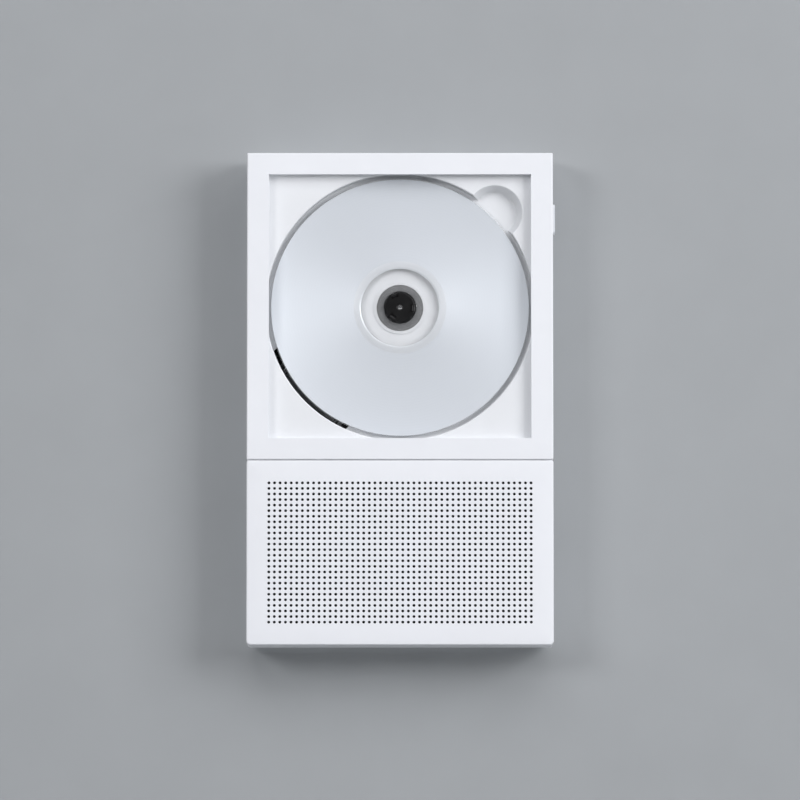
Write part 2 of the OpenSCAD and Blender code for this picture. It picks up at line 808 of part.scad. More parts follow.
module pickup_sled() {
    far = lens_in + sled_reach;
    fork = side_rod_r + 1.4;
    slot = side_rod_r + bearing_play;
    pocket = 5.1;
    color("#6f7276")
    on_feed_line()
    difference() {
        union() {
            slab(sled_face, sled_back)
                translate([sled_near, -sled_half]) square([far - sled_near, 2 * sled_half]);
            translate([sled_near, rod_depth - bearing_half - body_d, -rod_off - bearing_half])
                cube([far - sled_near, 2 * bearing_half, rod_off + bearing_half - sled_half + eps]);
            translate([lens_in - 4, rod_depth - fork - body_d, sled_half - eps])
                cube([8, 2 * fork, side_rod_off + 1 - sled_half + eps]);
        }
        feed_rod(rod_r + bearing_play, sled_near - eps, far + eps, -rod_off);
        translate([lens_in - 5, rod_depth - slot - body_d, side_rod_off - side_rod_r - 0.4])
            cube([10, 2 * slot, 5]);
        translate([lens_in, 0, 0])
            slab(sled_face - eps, sled_face + 2.6) square([2 * pocket, 13.4], center = true);
        translate([lens_in, 0, 0]) slab(sled_face, sled_face + 4.2) circle(3);
        for (z = [-sled_half + 3, sled_half - 3]) translate([far - 3, 0, z])
            slab(sled_face - eps, sled_face + 1.6) circle(1);
    }
}

module sled_rack() {
    color("ghostwhite")
    on_feed_line()
    slab(rack_face, rack_back)
        translate([gear_x, -rack_line])
        rack_outline(rack_m, -feed_travel - 4, 2.6, rack_line - rod_off - bearing_half);
}

module lens_cover() {
    color("#1d1e20")
    on_feed_line()
    translate([lens_in, 0, 0]) slab(cover_face, sled_face) difference() {
        translate([-8.6, -10.5]) square([8.6 + sled_reach - 1, 21]);
        square([9, 12.6], center = true);
    }
}

module lens_holder() {
    holder_face = cover_face + 0.5;
    color("black")
    on_feed_line()
    translate([lens_in, 0, 0]) difference() {
        union() {
            slab(holder_face, sled_face + 1.4) square([8, 11.6], center = true);
            slab(cover_face - 1.2, holder_face + eps) circle(3.2);
        }
        slab(cover_face - 2, sled_face + 2) circle(2.45);
    }
}

module objective_lens() {
    r = 2.4;
    rise = 0.5;
    crown = cover_face - 1.2 - rise;
    ball = (r * r + rise * rise) / (2 * rise);
    color("lightblue")
    on_feed_line()
    translate([lens_in, 0, 0]) turned()
        polygon(concat(
            [[0, cover_face + 0.6], [0, crown]],
            [for (i = [1:8]) let (x = r * i / 8) [x, crown + ball - sqrt(ball * ball - x * x)]],
            [[r, cover_face + 0.6]]
        ));
}

module feed_gear() {
    color("ghostwhite")
    on_feed_line()
    translate([gear_x, 0, gear_y]) difference() {
        union() {
            slab(wheel_face, wheel_face + wheel_t) rotate(train_angle) gear_outline(wheel_m, wheel_teeth);
            slab(wheel_face + wheel_t, rack_back) rotate(90) gear_outline(rack_m, pinion_teeth);
        }
        slab(wheel_face - eps, rack_back + eps) circle(1 + bearing_play);
        for (a = [0:60:300]) rotate([0, -a, 0]) translate([wheel_r * 0.68, 0, 0])
            slab(wheel_face - eps, wheel_face + wheel_t + eps) circle(wheel_r * 0.16);
    }
}

module motor_pinion() {
    color("gold")
    on_feed_line()
    translate([motor_at[0], 0, motor_at[1]]) {
        slab(wheel_face - 0.1, wheel_face + wheel_t + 0.5)
            rotate(train_angle + 180 + 180 / motor_teeth) gear_outline(wheel_m, motor_teeth);
        slab(wheel_face + wheel_t + 0.5, chassis_back + 3) circle(0.75);
    }
}

module feed_motor() {
    color("gray")
    on_feed_line()
    translate([motor_at[0], 0, motor_at[1]]) turned()
        polygon([
            [0.75 + bearing_play, chassis_depth - 0.4], [2.5, chassis_depth - 0.4], [2.5, chassis_back],
            [feed_motor_r, chassis_back], [feed_motor_r, chassis_back + 5.6],
            [feed_motor_r - 0.4, chassis_back + 6], [2.4, chassis_back + 6], [2.4, chassis_back + 6.5],
            [0, chassis_back + 6.5], [0, chassis_back + 3.2], [0.75 + bearing_play, chassis_back + 3.2]
        ]);
}

// CONTROLS

module volume_rocker() {
    ear_y = rocker_w / 2 + 1;
    color("whitesmoke") {
        translate([0, 0, rocker_z]) {
            along_x(rocker_flange_x - eps, side_x + rocker_out)
                translate([0, control_y]) stadium(rocker_l, rocker_w);
            along_x(rocker_flange_x - 1.4, rocker_flange_x)
                translate([0, control_y]) stadium(rocker_l + 2.2, rocker_w + 1.6);
        }
        translate([rocker_pin_x, 0, rocker_z])
            slab(control_depth - ear_y - 1, control_depth + ear_y + 1) circle(rocker_pin_r);
        for (s = [-1, 1]) translate([rocker_flange_x - 2, control_y - 1, rocker_z + s * rocker_pad_z - 1])
            cube([0.6 + eps, 2, 2]);
    }
}

// A key of the top side: its cap, and the flange that keeps it in.
module top_key(x) {
    color("whitesmoke")
    translate([x, 0, 0]) {
        along_z(top_z - wall - 0.1 - eps, top_z + key_out)
            translate([0, control_y]) stadium(key_l, key_w);
        along_z(top_z - wall - 0.1 - flange_t, top_z - wall - 0.1)
            translate([0, control_y]) stadium(key_l + 2, key_w + 2);
    }
}

module play_key() {
    top_key(key_xs[1]);
}

module previous_key() {
    top_key(key_xs[0]);
}

module next_key() {
    top_key(key_xs[2]);
}

// A board lying flat with three push switches under the keys.
module key_switches() {
    tip = top_z - wall - 0.1 - flange_t - key_travel - 0.1;
    mid = (key_xs[0] + key_xs[2]) / 2;
    half = key_pitch + key_l / 2 + 1.7;
    translate([0, control_y, 0]) {
        color("darkgreen")
        translate([mid - half, -4.2, tip - 4.2]) cube([2 * half, 8.4, board_t]);
        for (x = key_xs) translate([x, 0, 0]) {
            color("silver") translate([-2.25, -2.25, tip - 4.2 + board_t]) cube([4.5, 4.5, 2.2]);
            color("black") translate([0, 0, tip - 1]) cylinder(r = plunger_r, h = 1);
        }
    }
}

// A board standing beside the right wall with two push switches behind the rocker.
module rocker_switches() {
    tip = rocker_flange_x - 2 - rocker_pad_z * sin(rocker_swing) - 0.1;
    half = rocker_l / 2 + 3.1;
    translate([0, control_y, rocker_z]) {
        color("darkgreen") translate([tip - 3.8, -4.2, -half]) cube([board_t, 8.4, 2 * half]);
        for (s = [-1, 1]) translate([0, 0, s * rocker_pad_z]) {
            color("silver") translate([tip - 3.8 + board_t, -2.25, -2.25]) cube([2, 4.5, 4.5]);
            color("black") translate([tip - 0.8, 0, 0]) rotate([0, 90, 0]) cylinder(r = plunger_r, h = 0.8);
        }
    }
}

// BOARDS, SOCKETS AND BATTERY

// A chip, or a row of them, on the front side of a board at depth d.
module chip(x, z, w, h, d, t) {
    translate([x, 0, z]) slab(d - t, d) square([w, h], center = true);
}

module main_board() {
    color("darkgreen")
    slab(main_depth, main_depth + main_t) difference() {
        translate([main_x0, main_z0]) square([main_x1 - main_x0, main_z1 - main_z0]);
        for (p = board_posts) translate(p) circle(pass_r);
    }
    color("#202225") {
        chip(-22, 41, 12, 12, main_depth, 1);
        chip(4, 44, 9, 9, main_depth, 1);
        chip(22, 38, 8, 10, main_depth, 1.2);
        chip(-40, 26, 7, 5, main_depth, 1);
    }
    color("silver")
    for (x = [-8, -2]) translate([x, 0, 33]) slab(main_depth - 2.2, main_depth) circle(2);
}

module board_screws() {
    color("silver")
    for (p = board_posts) translate([p[0], 0, p[1]]) {
        slab(main_depth, main_depth + main_t + 3.2) circle(screw_r);
        slab(main_depth - head_h, main_depth) circle(head_r);
    }
}

module charge_socket() {
    y = main_depth - body_d - 1.6;
    mouth = -side_x + 0.7;
    color("silver")
    translate([0, 0, usb_z]) {
        difference() {
            along_x(mouth, mouth + 7.5) translate([0, y]) stadium(8.94, 3.2);
            along_x(mouth - eps, mouth + 6.6) translate([0, y]) stadium(8.34, 2.6);
        }
        along_x(mouth + 1, mouth + 7) translate([0, y]) square([6.7, 0.7], center = true);
    }
}

module headphone_jack() {
    y = jack_depth - body_d;
    face = -side_x + wall + 0.2;
    nose = 2 * jack_half - 0.2;
    color("#202225")
    difference() {
        union() {
            translate([face, y - jack_half, jack_z - jack_half]) cube([13, 2 * jack_half, 2 * jack_half]);
            translate([-side_x + 0.4, y - nose / 2, jack_z - nose / 2]) cube([wall, nose, nose]);
        }
        translate([-side_x, y, jack_z]) rotate([0, 90, 0]) cylinder(r = jack_r, h = 13.4);
    }
}

module battery() {
    color("slategray")
    translate([rear_w / 2 - 2.5 - wall - 17, 0, -rear_h / 2 + 2.5 + wall + 18.5])
        slab(plinth_floor - 6, plinth_floor) panel(34, 37, 1.5, 1.5);
}

// JOINT OF THE TWO UNITS

// The contact block that passes sound and power down to the speaker unit.
module speaker_link() {
    color("#202225")
    translate([0, 0, -top_z - seam / 2]) {
        along_z(-wall - 1, wall + 1) translate([0, main_depth - body_d]) square([14, 4], center = true);
        for (s = [-1, 1])
            along_z(s > 0 ? wall + seam / 2 : -wall - 1, s > 0 ? wall + 1 : -wall - seam / 2)
                translate([0, main_depth - body_d]) square([17, 6], center = true);
    }
}

module join_plate() {
    color("silver")
    difference() {
        translate([0, 0, -top_z - seam / 2]) slab(body_d - join_t, body_d)
            panel(2 * join_x + 16, 2 * join_half, 2, 2);
        for (p = join_at) translate([p[0], 0, p[1]]) turned()
            polygon([
                [0, body_d - join_t - eps], [pass_r, body_d - join_t - eps], [pass_r, body_d - join_t],
                [pass_r + join_t, body_d], [pass_r + join_t, body_d + eps], [0, body_d + eps]
            ]);
    }
}

module join_screws() {
    color("silver")
    for (p = join_at) translate([p[0], 0, p[1]]) turned()
        polygon([
            [0, shell_end - wall + 0.3], [screw_r, shell_end - wall + 0.3], [screw_r, body_d - join_t],
            [screw_r + join_t - 0.1, body_d - 0.1], [0, body_d - 0.1]
        ]);
}

// SPEAKER UNIT

// A rectangle about the origin with room for the grid of holes and a margin.
module hole_field(margin) {
    square([hole_columns * hole_pitch + 2 * margin, hole_rows * hole_pitch + 2 * margin], center = true);
}

// The grid of holes through the front.
module hole_grid() {
    for (i = [0:hole_columns - 1], j = [0:hole_rows - 1])
        translate([(i + 0.5 - hole_columns / 2) * hole_pitch, (j + 0.5 - hole_rows / 2) * hole_pitch])
            circle(d = hole_d);
}

module at_basket_screws() {
    at = (surround_r + 0.3 + driver_r) / 2 * sqrt(0.5);
    at_corners(at, at) children();
}

module at_baffle_screws() {
    at_corners(speaker_screw_x, speaker_screw_z) children();
}

module speaker_front() {
    color("whitesmoke")
    at_speaker() difference() {
        union() {
            difference() {
                soft_block(body_w, speaker_h, 0, frame_d, meet_r, foot_r, edge_r);
                slab(wall, frame_d + eps) panel(inner_w, speaker_inner_h, inner_r, inner_r);
            }
            at_baffle_screws() slab(wall / 2, frame_d) circle(boss_r);
        }
        slab(-eps, wall + eps) hole_grid();
        at_baffle_screws() slab(frame_d - bite, frame_d + eps) circle(pilot_r);
    }
}

module grille_cloth() {
    color("#0c0c0d")
    at_speaker() slab(wall, wall + cloth_t) hole_field(cloth_lap);
}

module driver_baffle() {
    color("#2b2d30")
    at_speaker()
    difference() {
        union() {
            slab(frame_d, baffle_back)
                panel(inner_w - 2 * fit_gap, speaker_inner_h - 2 * fit_gap, inner_r, inner_r);
            at_corners(post_x, speaker_post_z) slab(baffle_back - eps, shell_end - wall) circle(post_r);
        }
        mirrored_x() translate([driver_x, 0, 0]) slab(frame_d - eps, baffle_back + eps) circle(surround_r);
        mirrored_x() translate([driver_x, 0, 0])
            at_basket_screws() slab(baffle_back - 2.1, baffle_back + eps) circle(basket_screw_r);
        at_baffle_screws() slab(frame_d - eps, baffle_back + eps) circle(pass_r);
        at_corners(post_x, speaker_post_z) slab(shell_end - wall - 6, shell_end) circle(pilot_r);
    }
}

// Pressed steel baskets with four windows between their legs.
module driver_baskets() {
    bowl = top_plate - baffle_back;
    color("#3a3c40")
    at_speaker() mirrored_x() translate([driver_x, 0, 0]) difference() {
        turned()
            polygon([
                [surround_r - 0.8, cone_front], [surround_r, cone_front], [surround_r, baffle_back],
                [driver_r, baffle_back], [driver_r, cone_front], [surround_r + 0.3, cone_front],
                [surround_r + 0.2, cone_front + 1], [magnet_r - 1, top_plate - basket_t],
                [magnet_r - 1, top_plate], [8.4, top_plate], [8.4, top_plate - basket_t],
                [magnet_r - 2.2, top_plate - basket_t], [surround_r - 0.8, cone_front + 1.2]
            ]);
        for (a = [0:90:270]) rotate([0, -a - 45, 0])
            translate([magnet_r + 0.4, baffle_back + 2.4 - body_d, -6]) cube([12, bowl - 4.4, 12]);
        at_basket_screws() slab(baffle_back - eps, cone_front + eps) circle(basket_screw_r + 0.1);
    }
}

module driver_screws() {
    color("silver")
    at_speaker() mirrored_x() translate([driver_x, 0, 0]) at_basket_screws() {
        slab(baffle_back - 2, cone_front) circle(basket_screw_r);
        slab(cone_front, cone_front + 0.7) circle(1.15);
    }
}

// Ring magnets between their plates, with the pole in the middle.
module driver_magnets() {
    yoke = top_plate + plate_t + magnet_t;
    color("dimgray")
    at_speaker() mirrored_x() translate([driver_x, 0, 0]) turned()
        polygon([
            [7.75, top_plate], [magnet_r - 1.2, top_plate], [magnet_r - 1.2, top_plate + plate_t],
            [magnet_r, top_plate + plate_t], [magnet_r, yoke], [magnet_r - 1, yoke],
            [magnet_r - 1, yoke + plate_t], [0, yoke + plate_t], [0, top_plate], [6.4, top_plate],
            [6.4, yoke], [9.4, yoke], [9.4, top_plate + plate_t], [7.75, top_plate + plate_t]
        ]);
}

// The half roll that joins a cone to its basket.
module surround(x) {
    mid = cone_r + roll_r - 0.2;
    flat = cone_front - roll_t;
    color("#17181a")
    at_speaker() turned(x)
        polygon(concat(
            [[cone_r - 0.9, flat + roll_t], [cone_r - 0.9, flat]],
            arc(mid, flat, roll_r - 0.3, 180, 360, 8),
            [[surround_r - 0.1, flat], [surround_r - 0.1, flat + roll_t]],
            arc(mid, flat + roll_t, roll_r - 0.3 - roll_t, 360, 180, 8)
        ));
}

module left_surround() {
    surround(-driver_x);
}

module right_surround() {
    surround(driver_x);
}

// A paper cone with its voice coil former.
module cone(x) {
    back = cone_front + cone_h;
    color("#2a2b2e")
    at_speaker() turned(x)
        polygon([
            [cone_r, cone_front], [cone_r, cone_front + cone_t], [cone_r - 1, cone_front + cone_t],
            [neck_r + 1.2, back - 1.2], [neck_r, back], [neck_r, back + coil_l],
            [neck_r - 0.3, back + coil_l], [neck_r - 0.3, back - 0.4], [neck_r + 0.7, back - 1.4],
            [cone_r - 1.3, cone_front]
        ]);
}

module left_cone() {
    cone(-driver_x);
}

module right_cone() {
    cone(driver_x);
}

module dust_cap(x) {
    back = cone_front + cone_h;
    color("#1d1e20")
    at_speaker() turned(x)
        polygon(concat(
            [[0, back - 3.3], [0, back - 3.6]],
            [for (i = [1:6]) [neck_r * i / 6, back - 3.6 + 2.1 * pow(i / 6, 2)]],
            [for (i = [6:-1:1]) [(neck_r - 0.2) * i / 6, back - 3.3 + 2.1 * pow(i / 6, 2)]]
        ));
}

module left_dust_cap() {
    dust_cap(-driver_x);
}

module right_dust_cap() {
    dust_cap(driver_x);
}

module speaker_shell() {
    color("whitesmoke")
    difference() {
        at_speaker() unit_shell(speaker_h, meet_r, foot_r, speaker_rear_h);
        translate([0, 0, -top_z - seam]) along_z(-wall - eps, eps)
            translate([0, main_depth - body_d]) square([14.4, 4.4], center = true);
        join_cut();
    }
}

module speaker_back() {
    color("gainsboro")
    difference() {
        union() {
            at_speaker() unit_back(speaker_h);
            at_speaker() at_corners(10, 22) slab(main_depth - 0.4, plinth_floor + eps) circle(boss_r);
        }
        at_speaker() at_corners(10, 22) slab(main_depth - 1, main_depth + 3) circle(pilot_r);
        join_cut();
    }
}

module amplifier_board() {
    d = main_depth - 2;
    color("darkgreen")
    at_speaker() slab(d, d + main_t) difference() {
        square([28, 54], center = true);
        for (x = [-10, 10], z = [-22, 22]) translate([x, z]) circle(pass_r);
    }
    color("#202225")
    at_speaker() {
        chip(0, 6, 8, 8, d, 1);
        chip(-4, -10, 9, 5, d, 1.2);
    }
}

module speaker_screws() {
    d = main_depth - 2;
    color("silver")
    at_speaker() {
        case_screws(speaker_post_z);
        at_baffle_screws() screw(0, 0, frame_d - bite + 0.2, baffle_back);
        at_corners(10, 22) {
            slab(d, d + main_t + 2.8) circle(screw_r);
            slab(d - head_h, d) circle(head_r);
        }
    }
}

front_frame();
disc_tray();
player_shell();
player_back();
frame_screws();
player_screws();
disc();
turntable();
turntable_pad();
hub_claws();
motor_shaft();
spindle_motor();
mechanism_chassis();
damper_bushes();
damper_screws();
guide_rods();
pickup_sled();
sled_rack();
lens_cover();
lens_holder();
objective_lens();
feed_gear();
feed_motor();
motor_pinion();
volume_rocker();
rocker_switches();
play_key();
previous_key();
next_key();
key_switches();
main_board();
board_screws();
charge_socket();
headphone_jack();
battery();
speaker_link();
join_plate();
join_screws();
speaker_front();
grille_cloth();
driver_baffle();
driver_baskets();
driver_screws();
driver_magnets();
left_surround();
right_surround();
left_cone();
right_cone();
left_dust_cap();
right_dust_cap();
speaker_shell();
speaker_back();
amplifier_board();
speaker_screws();
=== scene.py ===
"""Visual model of a wall mounted disc player with a speaker unit under it.

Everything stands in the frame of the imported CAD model: X to the right seen from the
front, Z up and Y into the wall, with the wall plane at y = 0. Sizes in the classes are
in millimetres, and a depth is measured from the front face, which is at y = -28 mm.
"""

import logging
import math
from dataclasses import dataclass, field
from enum import Enum
from typing import Callable, Iterable

import bmesh
import bpy
from mathutils import Matrix, Vector


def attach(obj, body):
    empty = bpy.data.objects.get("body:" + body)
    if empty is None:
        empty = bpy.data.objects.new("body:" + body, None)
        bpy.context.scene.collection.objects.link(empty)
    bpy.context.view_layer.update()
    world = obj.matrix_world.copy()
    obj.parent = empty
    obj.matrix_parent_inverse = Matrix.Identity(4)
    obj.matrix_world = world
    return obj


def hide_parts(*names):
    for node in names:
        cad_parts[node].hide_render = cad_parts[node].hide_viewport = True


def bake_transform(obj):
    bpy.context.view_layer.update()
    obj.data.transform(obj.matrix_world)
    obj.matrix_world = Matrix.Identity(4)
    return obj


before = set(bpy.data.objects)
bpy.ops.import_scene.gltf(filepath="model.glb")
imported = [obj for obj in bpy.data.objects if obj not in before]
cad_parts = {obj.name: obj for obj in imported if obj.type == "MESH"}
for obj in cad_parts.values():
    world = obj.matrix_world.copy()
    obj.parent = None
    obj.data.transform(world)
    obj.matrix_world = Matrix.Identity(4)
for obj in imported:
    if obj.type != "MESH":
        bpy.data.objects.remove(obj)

LOG = logging.getLogger("disc_player")
MM = 0.001
BODY_DEPTH = 28.0
# How far apart two depths may be, in millimetres, and still count as one level
SAME_LEVEL = 1e-3
# The middle of a noise's range, where most of its values lie
NOISE_MIDDLE = (0.3, 0.7)
# Places of the colour sockets on a Mix node
MIX_SHARE, MIX_FIRST, MIX_SECOND, MIX_RESULT = 0, 6, 7, 2
Socket = bpy.types.NodeSocket
Colour = tuple[float, float, float]


class Body(Enum):
    """The moving and fixed bodies that new pieces ride on."""

    CASE = "case"
    DISC = "disc"
    LEFT_CONE = "left_cone"
    RIGHT_CONE = "right_cone"


class Grain(Enum):
    """How the fine relief of a finish is drawn out."""

    EVEN = (1.0, 1.0, 1.0)
    ALONG_X = (0.06, 1.0, 1.0)
    ALONG_Y = (1.0, 0.06, 1.0)


# ---------------------------------------------------------------- materials


class Graph:
    """One material's node tree round a Principled shader, in object coordinates."""

    def __init__(self, name: str) -> None:
        """Starts the material `name`."""
        self.material = bpy.data.materials.new(name)
        self.material.use_nodes = True
        self.tree = self.material.node_tree
        self.shader = self.tree.nodes["Principled BSDF"]
        self.place = self.tree.nodes.new("ShaderNodeTexCoord").outputs["Object"]

    def node(self, kind: str, inputs: dict | None = None, **settings: object) -> bpy.types.Node:
        """Adds a node.

        Args:
            kind: the node's Blender type name.
            inputs: values or sockets by input name.
            settings: attributes of the node.

        Returns:
            The new node.
        """
        made = self.tree.nodes.new(kind)
        for key, value in settings.items():
            setattr(made, key, value)
        for key, value in (inputs or {}).items():
            if isinstance(value, Socket):
                self.tree.links.new(value, made.inputs[key])
            else:
                made.inputs[key].default_value = value
        return made

    def set(self, **values: object) -> None:
        """Sets or links inputs of the Principled shader, with _ for a space in the name."""
        for key, value in values.items():
            target = self.shader.inputs[key.replace("_", " ")]
            if isinstance(value, Socket):
                self.tree.links.new(value, target)
            else:
                target.default_value = value

    def stretched(self, grain: Grain) -> Socket:
        """Object coordinates drawn out along the grain."""
        return self.node("ShaderNodeMapping", {"Vector": self.place, "Scale": grain.value}).outputs[0]

    def noise(self, period: float, detail: float = 2.0, at: Socket | None = None) -> Socket:
        """Noise whose lumps are about `period` millimetres across, from 0 to 1."""
        inputs = {"Vector": at or self.place, "Scale": 1 / (period * MM), "Detail": detail}
        return self.node("ShaderNodeTexNoise", inputs).outputs["Fac"]

    def spread(self, value: Socket, low: float, high: float) -> Socket:
        """Maps the middle of a noise's range onto low to high."""
        least, most = NOISE_MIDDLE
        inputs = {"Value": value, "From Min": least, "From Max": most, "To Min": low, "To Max": high}
        return self.node("ShaderNodeMapRange", inputs).outputs[0]

    def blend(self, share: Socket, first: Colour, second: Colour) -> Socket:
        """Mixes two colours by a share from 0 to 1."""
        mix = self.node("ShaderNodeMix", data_type="RGBA")
        self.tree.links.new(share, mix.inputs[MIX_SHARE])
        mix.inputs[MIX_FIRST].default_value = (*first, 1)
        mix.inputs[MIX_SECOND].default_value = (*second, 1)
        return mix.outputs[MIX_RESULT]

    def tinted(self, share: Socket, colour: Colour, by: float) -> Socket:
        """A colour that wanders by a share of itself to both sides."""
        low, high = (tuple(min(c * (1 + s * by), 1) for c in colour) for s in (-1, 1))
        return self.blend(self.spread(share, 0, 1), low, high)

    def relief(self, height: Socket, depth: float, below: Socket | None = None) -> Socket:
        """A bump whose full height is `depth` millimetres, over another bump if one is given."""
        inputs = {"Height": height, "Strength": 1.0, "Distance": depth * MM}
        if below:
            inputs["Normal"] = below
        return self.node("ShaderNodeBump", inputs).outputs[0]

    def maths(self, how: str, first: Socket, second: Socket | float = 0.0) -> Socket:
        """One arithmetic step."""
        return self.node("ShaderNodeMath", {0: first, 1: second}, operation=how).outputs[0]

    def axis(self, name: str) -> Socket:
        """One of the object coordinates, X, Y or Z."""
        return self.node("ShaderNodeSeparateXYZ", {0: self.place}).outputs[name]

    def radius(self) -> Socket:
        """The distance from the line through the disc's centre into the wall."""
        x, z = self.axis("X"), self.axis("Z")
        squares = self.maths("MULTIPLY", x, x), self.maths("MULTIPLY", z, z)
        return self.maths("SQRT", self.maths("ADD", *squares))


@dataclass(frozen=True)
class Moulded:
    """Injection moulded plastic with a fine spark-eroded grain."""

    name: str
    colour: Colour
    rough: float = 0.42
    grain: float = 0.35
    grain_depth: float = 0.004
    wander: float = 0.012
    shine: float = 0.5
    cloud: float = 26.0
    patch: float = 4.0
    patch_rough: float = 0.04
    sink: float = 14.0
    sink_depth: float = 0.012

    def make(self) -> bpy.types.Material:
        """Builds the material."""
        g = Graph(self.name)
        broad = g.noise(self.cloud, 3)
        fine = g.noise(self.grain, 3)
        skin = g.relief(fine, self.grain_depth)
        g.set(
            Base_Color=g.tinted(broad, self.colour, self.wander),
            Roughness=g.spread(
                g.noise(self.patch, 4), self.rough - self.patch_rough, self.rough + self.patch_rough
            ),
            Normal=g.relief(g.noise(self.sink, 1), self.sink_depth, skin),
            Specular_IOR_Level=self.shine,
        )
        return g.material


@dataclass(frozen=True)
class Hub:
    """The turntable's plastic: a black nose inside a dark grey platform."""

    name: str
    nose: Colour
    platform: Colour
    edge: float = 7.45
    rough: tuple[float, float] = (0.38, 0.48)

    def make(self) -> bpy.types.Material:
        """Builds the material."""
        g = Graph(self.name)
        outside = g.maths("GREATER_THAN", g.radius(), self.edge * MM)
        fine = g.noise(0.2, 3)
        g.set(
            Base_Color=g.blend(outside, self.nose, self.platform),
            Roughness=g.spread(g.noise(3, 4), *self.rough),
            Specular_IOR_Level=0.3,
            Normal=g.relief(fine, 0.004),
        )
        return g.material


@dataclass(frozen=True)
class Metal:
    """Bare or plated metal with a drawn, rolled or turned grain."""

    name: str
    colour: Colour
    rough: float = 0.3
    grain: float = 0.25
    grain_depth: float = 0.003
    lay: Grain = Grain.EVEN
    cloud: float = 7.0
    wander: float = 0.06
    brighter: float = 0.06
    duller: float = 0.08

    def make(self) -> bpy.types.Material:
        """Builds the material."""
        g = Graph(self.name)
        lines = g.noise(self.grain, 4, g.stretched(self.lay))
        cloud = g.noise(self.cloud, 3)
        g.set(
            Base_Color=g.tinted(cloud, self.colour, self.wander),
            Metallic=1.0,
            Roughness=g.spread(lines, self.rough - self.brighter, self.rough + self.duller),
            Normal=g.relief(lines, self.grain_depth),
        )
        return g.material


@dataclass(frozen=True)
class Rubber:
    """Moulded rubber with a dusty bloom."""

    name: str
    colour: Colour
    rough: float = 0.62
    bloom: float = 3.0
    bloom_rough: float = 0.08
    wander: float = 0.25

    def make(self) -> bpy.types.Material:
        """Builds the material."""
        g = Graph(self.name)
        bloom = g.noise(self.bloom, 5)
        g.set(
            Base_Color=g.tinted(bloom, self.colour, self.wander),
            Roughness=g.spread(bloom, self.rough - self.bloom_rough, self.rough + self.bloom_rough),
            Normal=g.relief(g.noise(0.25, 3), 0.01),
            Sheen_Weight=0.15,
            Sheen_Roughness=0.5,
        )
        return g.material


@dataclass(frozen=True)
class Woven:
    """Acoustic cloth in plain weave."""

    name: str
    colour: Colour
    pitch: float = 0.42
    depth: float = 0.08
    fibre: float = 0.12
    fibre_share: float = 0.4
    lighter: float = 2.2

    def make(self) -> bpy.types.Material:
        """Builds the material."""
        g = Graph(self.name)
        turns = 2 * math.pi / (self.pitch * MM)
        warp = g.maths("SINE", g.maths("MULTIPLY", g.axis("X"), turns))
        weft = g.maths("SINE", g.maths("MULTIPLY", g.axis("Z"), turns))
        cross = g.maths("MULTIPLY", warp, weft)
        threads = g.maths("MULTIPLY_ADD", cross, 0.5)
        threads.node.inputs[2].default_value = 0.5
        fuzz = g.maths("ADD", threads, g.maths("MULTIPLY", g.noise(self.fibre, 3), self.fibre_share))
        light = tuple(c * self.lighter for c in self.colour)
        g.set(
            Base_Color=g.blend(threads, self.colour, light),
            Roughness=0.9,
            Normal=g.relief(fuzz, self.depth),
            Sheen_Weight=0.3,
            Sheen_Roughness=0.6,
            Specular_IOR_Level=0.2,
        )
        return g.material


@dataclass(frozen=True)
class Pulp:
    """Pressed paper of a loudspeaker cone."""

    name: str
    colour: Colour

    def make(self) -> bpy.types.Material:
        """Builds the material."""
        g = Graph(self.name)
        fibre = g.noise(0.7, 6)
        g.set(
            Base_Color=g.tinted(fibre, self.colour, 0.35),
            Roughness=0.82,
            Normal=g.relief(fibre, 0.05),
            Specular_IOR_Level=0.3,
        )
        return g.material


@dataclass(frozen=True)
class CircuitBoard:
    """Solder mask over copper tracks on a glass-fibre board."""

    name: str
    mask: Colour
    track: Colour
    block: float = 9.0
    line: float = 0.02
    track_depth: float = 0.035

    def make(self) -> bpy.types.Material:
        """Builds the material."""
        g = Graph(self.name)
        turned = g.node("ShaderNodeMapping", {"Vector": g.place, "Rotation": (math.pi / 2, 0, 0)})
        bricks = g.node(
            "ShaderNodeTexBrick",
            {
                "Vector": turned.outputs[0],
                "Scale": 1 / (self.block * MM),
                "Mortar Size": self.line,
                "Bias": 0.0,
            },
            offset=0.37,
            squash=0.6,
        )
        tracks = bricks.outputs["Fac"]
        g.set(
            Base_Color=g.blend(tracks, self.mask, self.track),
            Roughness=g.spread(g.noise(2, 2), 0.28, 0.4),
            Normal=g.relief(tracks, self.track_depth),
            Coat_Weight=0.3,
            Coat_Roughness=0.2,
        )
        return g.material


@dataclass(frozen=True)
class Silvered:
    """The silver layer of a disc under its lacquer, with turned fine lines."""

    name: str
    colour: Colour
    rough: float
    turned: float
    metal: float = 0.45
    ring: float = 1.3
    dimmer: float = 0.985

    def make(self) -> bpy.types.Material:
        """Builds the material."""
        g = Graph(self.name)
        tangent = g.node("ShaderNodeTangent", direction_type="RADIAL", axis="Y").outputs[0]
        rings = g.maths("SINE", g.maths("MULTIPLY", g.radius(), 2 * math.pi / (self.ring * MM)))
        dim = tuple(c * self.dimmer for c in self.colour)
        g.set(
            Base_Color=g.blend(g.spread(rings, 0.2, 0.8), self.colour, dim),
            Metallic=self.metal,
            Roughness=self.rough,
            Anisotropic=self.turned,
            Anisotropic_Rotation=0.25,
            Tangent=tangent,
            Coat_Weight=0.3,
            Coat_Roughness=0.12,
        )
        return g.material


